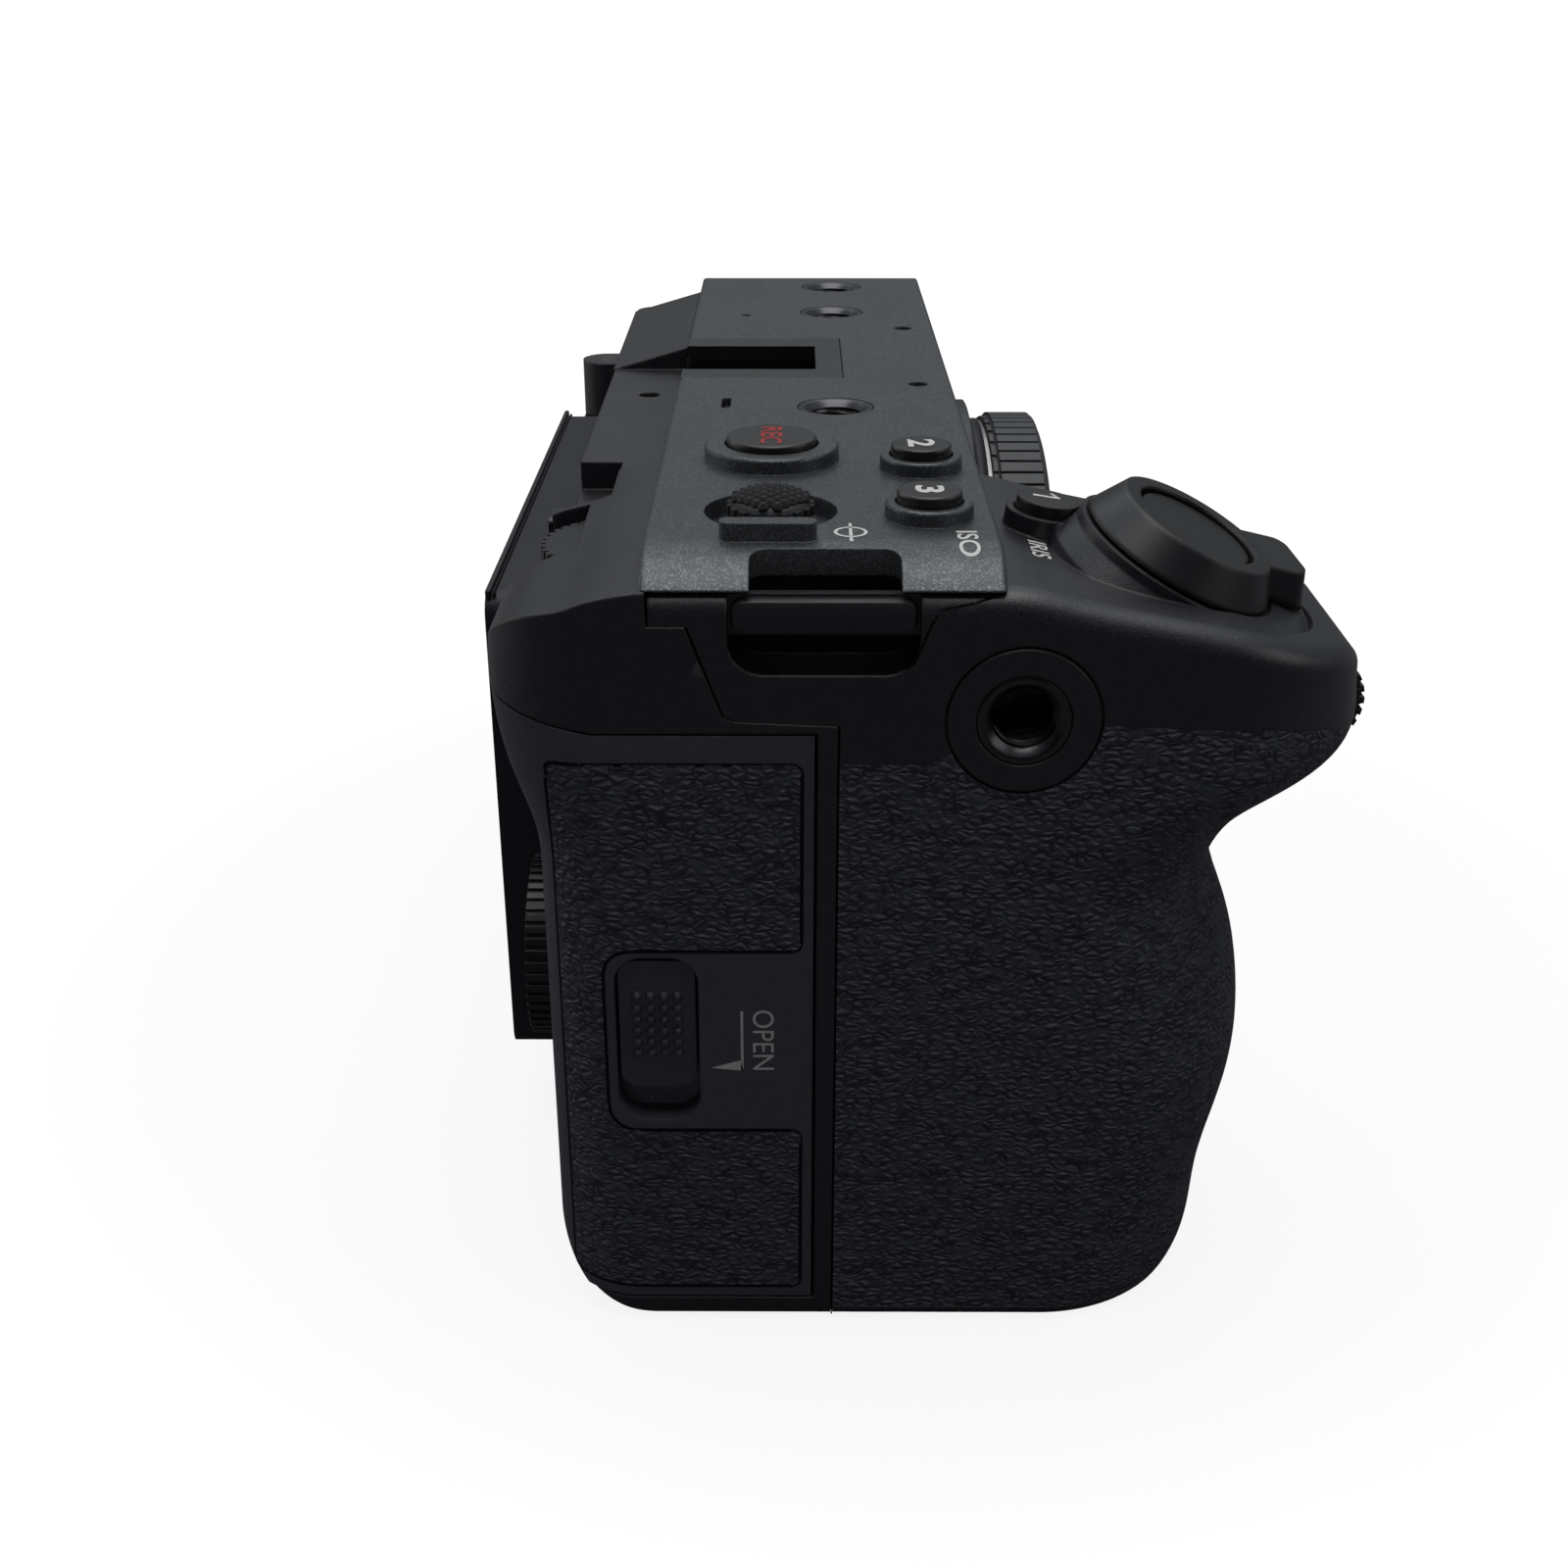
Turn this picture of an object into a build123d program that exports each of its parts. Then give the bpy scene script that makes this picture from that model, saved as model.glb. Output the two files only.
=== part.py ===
# Compact cinema camera body with a swing-out monitor, in millimetres.
# The origin is the mouth of the tripod socket in the flat base. +Z is up, -Y faces the subject,
# +X is the side with the monitor hinge and the ports, and the lens axis lies in the plane X = 0.
from build123d import *
import os
from math import cos, radians, sin, sqrt, tan

os.makedirs("parts", exist_ok=True)

# Overall body
grip_x = -77.0              # outer face at the grip side
left_x = 51.7               # left wall, behind the port covers
front_y = -7.8              # plain front face
rear_y = 32.0               # rear wall behind the monitor
top_z = 77.8                # upper face of the top plate
plate_t = 2.6               # top plate
wall = 1.8                  # moulded and cast covers
seam = 0.2                  # visible gap between covers
skin = 0.8                  # leather
run = 0.3                   # gap between parts that move past each other
cover_top = top_z - plate_t

# Lens mount
axis_z = 38.9               # height of the lens axis
sensor_y = 5.0              # sensor plane
flange_distance = 18.0      # lens mount flange to sensor plane
mount_r = 30.5
mount_t = 2.2
throat_r = 23.05
surround_r = 33.0
flange_y = sensor_y - flange_distance
surround_y = flange_y + mount_t

# Grip column, seen from above
grip_inner_x = -40.0        # grip face next to the lens
near_r = 16.0               # front corner at the grip side
inner_r = 12.0              # front corner next to the lens
blend_r = 4.0               # hollow corner between the grip and the front
heel_r = 8.5                # rear corner at the grip side
join_x = grip_inner_x + blend_r
step_x = join_x - 8.3       # where the rear face steps back beside the monitor
# Each level of the column: height, how far the grip reaches forward and how far the back reaches
grip_levels = [
    (-9.0, -27.6, 33.0), (0.0, -29.6, 33.0), (9.0, -31.5, 33.0), (18.0, -32.9, 33.0), (27.0, -34.0, 33.0),
    (35.0, -33.1, 33.0), (41.5, -31.1, 33.0), (46.5, -29.8, 33.0), (50.0, -31.5, 33.2), (53.5, -35.4, 34.1),
    (57.5, -40.7, 35.4), (62.0, -41.6, 36.3), (67.0, -41.7, 36.6), (72.0, -41.7, 36.4), (77.0, -41.7, 36.0),
]
toe_r = 7.0                 # rounding under the front of the grip
toe_y = -24.6
heel_drop_r = 10.0          # rounding under the back
heel_y = 23.02
edge_r = 2.2                # rounding along the edge of the grip's sloping deck
foot_r = 1.5                # rounding along its lower edge at the side
back_z = 64.0               # where the thumb rest's curve runs into its upright back
nose_z = 58.0               # where the deck's curve runs into the upright front of the grip

# Seams
plate_front_y = front_y
plate_rear_y = 22.75
shelf_z = 73.8              # low shelf behind the top plate
shelf_dimple_at = (-2.0, 26.8)
shelf_dimple_r = 1.25
side_seam = [(22.0, 72.3), (18.8, 72.3), (15.8, 64.2), (14.8, 63.8), (6.0, 63.4), (6.0, 0.0)]
left_seam_y = 25.6
left_seam_x = left_x - 4.0

left_front_r = 6.0
left_rear_r = 3.0
base_r = 2.4

# Strap eyelets: a pocket in each end with a bar across it
strap_y = (-0.7, 15.4)
strap_low_z = 68.0
strap_depth = 5.4
strap_bar_z = (71.2, 74.8)
strap_bar_t = 2.0
strap_notch_y = (0.9, 13.6)
strap_notch_depth = 4.8
strap_notch_r = 1.5
left_strap_z = (58.4, 67.2)
left_bar_z = (61.2, 64.2)
pocket_wall = 1.2

# Threads for quarter inch screws: 6.35 over the crests, 5.1 at the bore, in an 8.2 insert
thread_bore_r = 2.55
insert_r = 4.1
insert_depth = 8.0
boss_wall = 0.9
top_insert_at = [(-24.1, 5.4), (27.0, 4.9), (44.8, 4.6)]
grip_insert_at = (-9.65, 63.9)
left_insert_at = (7.35, 50.8)
insert_boss_r = 6.75
boss_groove_w = 0.25
tripod_boss_r = 5.0
tripod_depth = 6.5

# Accessory shoe
shoe_x = 10.6
shoe_front_y = 4.3
shoe_slot_x = 6.25          # half the gap between the lips
shoe_foot_x = 9.3           # half the width of the channel for the foot
shoe_channel_y = 7.3
shoe_floor_z = 73.8
shoe_lip_t = 1.7
shoe_base_t = 1.6

# Buttons on the top
rec_at = (-44.5, 12.0)
rec_ring_r = 6.5
rec_ring_z = 79.3
rec_r = 4.35
rec_z = 80.0
two_at = (-48.1, -2.2)
three_at = (-63.6, -2.0)
small_ring_r = 3.9
small_ring_z = 79.2
small_r = 2.88
small_z = 80.2
one_at = (-56.8, -12.9)
one_foot_z = 74.5           # deck height under the front button
one_tilt = 9.0
one_ring_r = 3.7
one_ring_up = 1.8
one_up = 2.9
flange_t = 0.9
flange_over = 0.9           # how far a button's hidden collar reaches past its cap

# Joystick
stick_at = (-62.0, 11.9)
stick_well_r = 5.9
stick_well_z = 76.0
stick_cap_r = 4.0
stick_top_z = 79.5
stick_cap_t = 2.3
stick_pivot_z = 73.4
stick_stem_r = 1.2
stick_guard_x = -70.2
stick_guard_t = 1.8
stick_guard_y = (7.9, 16.2)
stick_guard_up = 1.6
plate_slot_at = (-22.4, 17.1)
plate_slot = (4.5, 1.0)

# Zoom lever and shutter button, square to a tilted axis
lever_centre = (-61.6, -25.8, 75.9)
lever_normal = (-0.096, -0.455, 0.885)
lever_forward = (0.049, -0.891, -0.452)
lever_r = 9.3
lever_rim_r = 7.5
lever_up = 0.6
lever_down = 2.6
tab_down = 2.1
tab_up = 1.1
lever_bore_r = 5.9
tab_turn = 12.0
tab_w = 6.6
tab_reach = 12.9
tab_rise = 8.0              # the tab's top climbs towards its end
shutter_r = 5.45
shutter_stem_r = 3.0
shutter_collar = (-9.0, -8.0)
turret_r = 9.7
turret_foot_r = 10.8
turret_t = 3.0

# Dials
front_dial_at = (-37.85, 59.9)
front_dial_r = 4.6
front_dial_x = (-62.5, -57.5)
rear_dial_at = (-53.5, 25.5)
rear_dial_r = 8.0
rear_dial_z = (68.6, 72.2)
wheel_at = (-57.5, 31.3)
wheel_r = 9.0
wheel_bore_r = 5.0
wheel_proud = 2.7
axle_r = 1.0
axle_play = 0.1

# Rear buttons and switch
menu_at = (-53.0, 49.0)
playback_at = (-50.8, 12.6)
rear_button_r = 2.9
rear_button_proud = 0.9
switch_at = (-40.6, 69.4)
switch_size = (4.6, 3.4)
switch_proud = 2.2
switch_travel = 4.0

# Card door, latch and card slots
door_y = 8.05
door_low_z = 2.8
door_top = [(27.0, 62.5), (35.6, 64.2), (47.0, 66.4)]
door_top_z = 62.5
door_end_x = -70.0
card_leather_top = (41.5, 59.8)
card_leather_low = (4.0, 22.3)
card_leather_y = (9.1, 31.3)
card_leather_back_y = 27.0
card_leather_r = 1.0
card_leather_notch_r = 3.0
latch_recess = ((18.4, 26.0), (23.4, 40.8))
latch_size = (7.0, 13.4)
latch_centre = (22.2, 33.55)
latch_travel = 3.0
latch_pan_depth = 2.8
latch_pan_wall = 1.0
latch_pan_r = 2.6
bump_rows = 6
bump_columns = 4
bump_r = 0.5
bump_top_r = 0.25
bump_up = 0.5
bump_zone = ((19.9, 24.6), (29.9, 36.9))
card_block = ((-69.6, -43.0), (17.0, 26.4), (6.0, 57.0))
card_slot_t = 2.8
card_slot_h = 25.0
card_slot_depth = 22.0

# Battery, its chamber and its door
battery_x = (-69.0, -46.3)
battery_y = (-23.5, 15.2)
battery_z = (3.4, 55.1)
chamber_wall = 1.2
chamber_gap = 0.3
battery_door_x = (-71.4, -45.0)
battery_door_y = (-24.4, 16.0)
battery_latch_travel = 2.5

# Port covers on the left wall
port_y = (-1.6, 23.6)
audio_z = (28.8, 43.5)
data_z = (8.0, 27.6)
port_proud = 0.4

# Sensor, its two shifting carriers and their base
sensor_size = (44.0, 32.0)
carrier_t = 2.6

# Monitor
monitor_x = (-45.0, 30.2)
monitor_z = (10.7, 63.7)
monitor_y = (32.5, 40.8)
hinge_at = (47.6, 36.5)
hinge_r = 3.4
arm_z = (14.9, 59.3)
lug_t = 7.6

# Fan and electronics
fan_centre = (26.0, 46.0)
fan_size = 32.0
fan_y = (18.8, 26.4)
rotor_r = 14.0
board_y = (27.6, 29.0)

# Helpers
PUSH = {"X": (1, 0, 0), "Y": (0, 1, 0), "Z": (0, 0, 1)}


def face_plane(axis, at):
    """The plane square to an axis; its own two axes are the other two, in the order X, Y, Z."""
    if axis == "X":
        return Plane.YZ.offset(at)
    if axis == "Y":
        return Plane.XZ.offset(-at)
    return Plane.XY.offset(at)


def block(x, y, z, mode=Mode.ADD):
    """A box from its low and high value along each axis."""
    with Locations(((x[0] + x[1]) / 2, (y[0] + y[1]) / 2, (z[0] + z[1]) / 2)):
        Box(x[1] - x[0], y[1] - y[0], z[1] - z[0], mode=mode)


def rod(axis, centre, radius, span, mode=Mode.ADD):
    """A cylinder along an axis, from its low to its high value."""
    with BuildSketch(face_plane(axis, span[0])) as end:
        with Locations(centre):
            Circle(radius)
    extrude(end.sketch, amount=span[1] - span[0], dir=PUSH[axis], mode=mode)


def slab(axis, centre, size, corner, span, mode=Mode.ADD):
    """A rounded rectangle pushed along an axis, from its low to its high value."""
    with BuildSketch(face_plane(axis, span[0])) as end:
        with Locations(centre):
            RectangleRounded(size[0], size[1], corner)
    extrude(end.sketch, amount=span[1] - span[0], dir=PUSH[axis], mode=mode)


def prism(axis, points, span, mode=Mode.ADD):
    """A polygon pushed along an axis, from its low to its high value."""
    with BuildSketch(face_plane(axis, span[0])) as end:
        with BuildLine():
            Polyline(*points, close=True)
        make_face()
    extrude(end.sketch, amount=span[1] - span[0], dir=PUSH[axis], mode=mode)


def save(piece, name):
    piece.part.label = name
    export_step(piece.part, f"parts/{name}.step")


# Outer forms, each drawn at a given depth inside the outer surface
def grip_level(z, front, rear, inset):
    """One level of the grip column, seen from above."""
    near = grip_x + inset
    inner = grip_inner_x - inset
    y_front = front + inset
    y_rear = rear - inset
    base_y = front_y + inset
    wall_y = rear_y - inset
    r_near = near_r - inset
    r_inner = inner_r - inset
    r_blend = blend_r + inset
    r_heel = heel_r - inset
    ramp_x = step_x - 1.0 - (rear - rear_y) * 0.7 - inset
    with BuildSketch(Plane.XY.offset(z)) as level:
        with BuildLine():
            Line((near, y_rear - r_heel), (near, y_front + r_near))
            CenterArc((near + r_near, y_front + r_near), r_near, 180, 90)
            Line((near + r_near, y_front), (inner - r_inner, y_front))
            CenterArc((inner - r_inner, y_front + r_inner), r_inner, 270, 90)
            Line((inner, y_front + r_inner), (inner, base_y - r_blend))
            CenterArc((inner + r_blend, base_y - r_blend), r_blend, 180, -90)
            Line((join_x, base_y), (join_x, wall_y))
            Line((join_x, wall_y), (step_x - inset, wall_y))
            Line((step_x - inset, wall_y), (ramp_x, y_rear))
            Line((ramp_x, y_rear), (near + r_heel, y_rear))
            CenterArc((near + r_heel, y_rear - r_heel), r_heel, 90, 90)
        make_face()
    return level.sketch


def side_outline(inset):
    """The column seen from the side: rounded underneath, flat under the top plate, sloping in front."""
    top = cover_top - inset
    outside = 20.0
    over = 0.5
    back_y = max(rear for z, front, rear in grip_levels) + over
    nose_y = min(front for z, front, rear in grip_levels) - over
    with BuildSketch(Plane.YZ) as outline:
        with BuildLine():
            Line((toe_y, inset), (heel_y, inset))
            CenterArc((heel_y, heel_drop_r), heel_drop_r - inset, 270, 90)
            Line((heel_y + heel_drop_r - inset, heel_drop_r), (back_y + outside, heel_drop_r))
            Line((back_y + outside, heel_drop_r), (back_y + outside, back_z))
            Line((back_y + outside, back_z), (back_y - inset, back_z))
            Spline(
                (back_y - inset, back_z), (back_y - 1.4 - inset, 70.3), (back_y - 3.7 - inset, 72.3 - inset),
                (29.5, 73.5 - inset), (plate_rear_y + 0.1, top),
                tangents=[(0, 1), (-1, 0.12)],
            )
            Line((plate_rear_y + 0.1, top), (plate_front_y - 0.1, top))
            Spline(
                (plate_front_y - 0.1, top), (-13.6, 74.2 - inset), (-21.8, 72.5 - inset),
                (-29.9, 70.6 - inset),
                (-34.6 + inset * 0.4, 69.0 - inset), (-38.3 + inset * 0.6, 67.5 - inset * 0.8),
                (-40.5 + inset * 0.8, 65.7 - inset * 0.6), (-41.4 + inset * 0.95, 62.6 - inset * 0.3),
                (nose_y + inset, nose_z), tangents=[(-1, 0), (0, -1)],
            )
            Line((nose_y + inset, nose_z), (nose_y - outside, nose_z))
            Line((nose_y - outside, nose_z), (nose_y - outside, toe_r))
            Line((nose_y - outside, toe_r), (toe_y - toe_r + inset, toe_r))
            CenterArc((toe_y, toe_r), toe_r - inset, 180, 90)
        make_face()
    return outline.sketch


def grip_column(inset):
    """The grip, the card side and the thumb rest as one solid."""
    with BuildPart() as column:
        loft([grip_level(z, front, rear, inset) for z, front, rear in grip_levels])
        extrude(side_outline(inset), amount=20.0 - grip_x, both=True, mode=Mode.INTERSECT)
    return column.part


def box_form(inset):
    """The body beside the grip column, with a low shelf behind the top plate."""
    with BuildPart() as form:
        with BuildSketch(Plane.XY.offset(inset)) as footprint:
            with BuildLine():
                Polyline(
                    (join_x, front_y + inset), (left_x - inset, front_y + inset),
                    (left_x - inset, rear_y - inset), (join_x, rear_y - inset), close=True,
                )
            make_face()
            left_corners = footprint.vertices().group_by(Axis.X)[-1].sort_by(Axis.Y)
            fillet(left_corners[0], left_front_r - inset)
            fillet(footprint.vertices().group_by(Axis.X)[-1].sort_by(Axis.Y)[-1], left_rear_r - inset)
        extrude(amount=cover_top - inset)
        under = form.faces().sort_by(Axis.Z)[0].edges().filter_by(lambda edge: edge.center().X > join_x + 0.1)
        fillet(under, base_r - inset)
        block(
            (join_x - 1, left_x + 1), (plate_rear_y + seam - inset, rear_y + 1),
            (shelf_z - inset, cover_top + 1), mode=Mode.SUBTRACT,
        )
    return form.part


column = grip_column(0)
column_core = grip_column(wall)
column_under_skin = grip_column(skin)
box_outer = box_form(0)
box_core = box_form(wall)
far = 20.0                  # how far a cutting shape reaches past the body
far_out = 80.0              # and where it has to pass the whole grip
half_seam = seam / 2

# Hinge pins of the card door and the battery door
hinge_pin_r = 0.46
pin_play_r = 0.55
door_pin = (grip_x + wall / 2, door_y + wall / 2)
door_sweep_r = wall / sqrt(2) + seam    # room for the door's square corner as it swings
door_pin_low = (door_low_z - 0.8, door_low_z + 0.9)
door_pin_high = (door_top_z - 1.9, door_top_z + 0.8)
battery_hinge = (battery_door_x[1] - wall / 2, wall / 2)
battery_pin_front = (battery_door_y[0] - 1.2, battery_door_y[0] + 2.0)
battery_pin_rear = (battery_door_y[1] - 2.0, battery_door_y[1] + 1.2)

# Planes square to the zoom lever's axis and to the tilted front button
lever_plane = Plane(origin=lever_centre, x_dir=lever_forward, z_dir=lever_normal)
one_normal = (0, -sin(radians(one_tilt)), cos(radians(one_tilt)))
one_plane = Plane(origin=(*one_at, one_foot_z), x_dir=(1, 0, 0), z_dir=one_normal)


def puck(plane, radius, low, high, mode=Mode.ADD):
    """A cylinder square to a plane, between two heights over it."""
    with BuildSketch(plane.offset(low)) as end:
        Circle(radius)
    extrude(end.sketch, amount=high - low, mode=mode)


def side_zone(shift_y, reach_y):
    """The side view on one side of the side seam, moved off it, reaching forward or back."""
    upper = [(plate_rear_y + shift_y, top_z + far)]
    return upper + [(y + shift_y, z) for y, z in side_seam] + [
        (side_seam[-1][0] + shift_y, -far), (reach_y, -far), (reach_y, top_z + far),
    ]


def door_outline(grow):
    """The card door seen from the side, grown by a margin."""
    low = door_low_z - grow
    return [(door_y - grow, low), (door_y - grow, door_top_z + grow)] + [
        (y, z + grow) for y, z in door_top
    ] + [(door_top[-1][0], low)]


whole_x = (grip_x - far, left_x + far)
near_x = (grip_x - far, door_end_x)


def foot_edges(piece):
    """The lower edges at the side of the grip that get rounded."""
    return piece.edges().filter_by(
        lambda edge: edge.bounding_box().max.Z < heel_drop_r + 1 and edge.bounding_box().min.X < grip_x + 1
        and edge.bounding_box().max.X < grip_x + near_r + 0.5
        and edge.bounding_box().max.Y - edge.bounding_box().min.Y > 1.0
    )


# The two halves of the column on either side of the side seam, with softened edges
with BuildPart() as front_half:
    add(column)
    prism("X", side_zone(-half_seam, -far_out), whole_x, mode=Mode.INTERSECT)
    block((grip_x - far, join_x - half_seam), (-far_out, far * 2), (-1, top_z + far), mode=Mode.INTERSECT)
deck_edges = front_half.edges().filter_by(
    lambda edge: edge.center().Z > nose_z + 1 and edge.bounding_box().min.Y < plate_front_y - 3
    and edge.bounding_box().max.Y < plate_front_y + 0.5
)
grip_front = front_half.part.fillet(edge_r, deck_edges)
grip_front = grip_front.fillet(foot_r, foot_edges(grip_front))
with BuildPart() as rear_half:
    add(column)
    prism("X", side_zone(half_seam, far_out), whole_x, mode=Mode.INTERSECT)
grip_rear = rear_half.part.fillet(foot_r, foot_edges(rear_half.part))

# Leather around the grip
leather_top = [
    (-1.5, 59.9), (-3.6, 60.9), (grip_insert_at[0], 62.0), (-15.8, 63.2), (-17.0, 63.5), (-30.0, 62.9),
    (-36.5, 61.4), (-42.0, 58.6), (-60.0, 58.0),
]
leather_foot_z = 1.5
leather_end_y = side_seam[-1][0] - half_seam
dial_slot_r = front_dial_r + run
dial_slot_x = (front_dial_x[0] - run, front_dial_x[1] + run)
with BuildPart() as grip_leather:
    add(column)
    add(column_under_skin, mode=Mode.SUBTRACT)
    prism(
        "X",
        [(leather_end_y, leather_foot_z), (leather_end_y, leather_top[0][1])] + leather_top
        + [(leather_top[-1][0], leather_foot_z)],
        (grip_x - far, grip_inner_x + 0.1), mode=Mode.INTERSECT,
    )
    rod("X", grip_insert_at, insert_boss_r, (grip_x - 1, grip_x + 3), mode=Mode.SUBTRACT)
    rod("X", front_dial_at, dial_slot_r, dial_slot_x, mode=Mode.SUBTRACT)
save(grip_leather, "grip_leather")

# Thin groove round the boss of the grip's thread
with BuildPart() as boss_groove:
    rod("X", grip_insert_at, insert_boss_r, (grip_x - 1, grip_x + 0.5))
    rod("X", grip_insert_at, insert_boss_r - boss_groove_w, (grip_x - 2, grip_x + 1), mode=Mode.SUBTRACT)

# Turret under the zoom lever, with the short hub that the lever turns on
turret_top = -lever_down - run
turret_rim_t = 1.0
hub_top = -2.0
hub_play = 0.08
with BuildPart() as turret:
    puck(lever_plane, turret_r, turret_top - turret_rim_t, turret_top)
    puck(lever_plane, lever_bore_r - hub_play, turret_top - turret_rim_t, hub_top)
    with BuildSketch(lever_plane.offset(turret_top - turret_rim_t)):
        Circle(turret_r)
    with BuildSketch(lever_plane.offset(turret_top - turret_t)):
        Circle(turret_foot_r)
    loft()
    puck(lever_plane, turret_foot_r, turret_top - turret_t - 2.0, turret_top - turret_t)

# Grip cover: grip core, deck and the side above the leather
strap_mid_y = (strap_y[0] + strap_y[1]) / 2
strap_w = strap_y[1] - strap_y[0]
strap_pocket_h = 14.0
collar_r = small_r + flange_over
small_bore_r = small_r + 0.15
ear_t = 1.4
ear_reach = 2.4
battery_door_room = 0.2
with BuildPart() as grip_cover:
    add(grip_front)
    add(turret.part)
    puck(one_plane, one_ring_r, -2.6, one_ring_up)
    add(column_core, mode=Mode.SUBTRACT)
    block(
        (grip_x + wall, join_x), (plate_front_y + wall, plate_rear_y - wall), (cover_top - 10, cover_top + 1),
        mode=Mode.SUBTRACT,
    )
    block(
        (grip_x + wall, grip_x + strap_depth + pocket_wall),
        (strap_y[0] - pocket_wall, strap_y[1] + pocket_wall - 0.6), (strap_low_z - pocket_wall, cover_top),
    )
    rod("X", grip_insert_at, insert_r + boss_wall, (grip_x + 1, grip_x + insert_depth + 1))
    for ear_x in (dial_slot_x[0] - ear_t, dial_slot_x[1]):
        block(
            (ear_x, ear_x + ear_t), (front_dial_at[0] - ear_reach, front_dial_at[0] + ear_reach),
            (front_dial_at[1] - ear_reach, front_dial_at[1] + ear_reach),
        )
    add(grip_leather.part, mode=Mode.SUBTRACT)
    slab(
        "X", (strap_mid_y, strap_low_z + strap_pocket_h / 2), (strap_w, strap_pocket_h), 3.0,
        (grip_x - 1, grip_x + strap_depth), mode=Mode.SUBTRACT,
    )
    rod("X", grip_insert_at, insert_r, (grip_x - 1, grip_x + insert_depth), mode=Mode.SUBTRACT)
    add(boss_groove.part, mode=Mode.SUBTRACT)
    rod("X", front_dial_at, dial_slot_r, dial_slot_x, mode=Mode.SUBTRACT)
    rod(
        "X", front_dial_at, axle_r + axle_play,
        (dial_slot_x[0] - ear_t - 1, dial_slot_x[1] + ear_t + 1), mode=Mode.SUBTRACT,
    )
    puck(one_plane, small_bore_r, -6, one_ring_up + 1, mode=Mode.SUBTRACT)
    puck(one_plane, collar_r + run, -6, -1.8, mode=Mode.SUBTRACT)
    puck(lever_plane, lever_r + run, turret_top, lever_up + 2, mode=Mode.SUBTRACT)
    puck(lever_plane, tab_reach + 0.5, -tab_down - run, lever_up + 2, mode=Mode.SUBTRACT)
    puck(lever_plane, shutter_stem_r + 0.4, -far, lever_up, mode=Mode.SUBTRACT)
    rod("Y", battery_hinge, hinge_pin_r, battery_pin_front, mode=Mode.SUBTRACT)
    block(
        (battery_door_x[0] - battery_door_room, battery_door_x[1] + battery_door_room),
        (battery_door_y[0] - battery_door_room, battery_door_y[1] + battery_door_room), (-1, wall + 0.1),
        mode=Mode.SUBTRACT,
    )
save(grip_cover, "grip_cover")

# Front cover: the front around the mount and the whole left wall
deck_z = (shoe_floor_z - shoe_base_t - 1.8, shoe_floor_z - shoe_base_t)
shoe_room = 0.1
base_x = (join_x + half_seam, left_x - base_r - 0.2)
base_y = (front_y + base_r + 0.2, rear_y - base_r - 0.2)
left_strap_mid_z = (left_strap_z[0] + left_strap_z[1]) / 2
release_at = (38.0, 24.0)
release_r = 5.8
release_stem_r = 3.0
pin_angle = -15.0
pin_ring_r = 27.2
pin_at = (pin_ring_r * cos(radians(pin_angle)), axis_z + pin_ring_r * sin(radians(pin_angle)))
pin_r = 1.0
lamp_at = (44.5, 66.0)
lamp_r = 2.2
vent_x = (39.0, 48.5)
vent_z = [7.6 + 2.2 * step for step in range(5)]
port_hinge_x = left_x + port_proud - wall / 2
port_hinge_y = port_y[0] + 0.2 + wall / 2
left_pocket_x = left_x - strap_depth + 1.2
pin_seat = 0.8              # how far a hinge pin reaches into the cover
pin_hold = 1.8              # and into the door
port_pins = [
    (data_z[0] - pin_seat, data_z[0] + pin_hold), (data_z[1] - pin_hold, audio_z[0] + pin_hold),
    (audio_z[1] - pin_hold, audio_z[1] + pin_seat),
]
with BuildPart() as front_zone:
    block((join_x + half_seam, left_x + 2), (surround_y - 1, side_seam[-1][0] - half_seam), (-1, top_z))
    block((left_seam_x + half_seam, left_x + 2), (0, left_seam_y), (-1, top_z))
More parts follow.
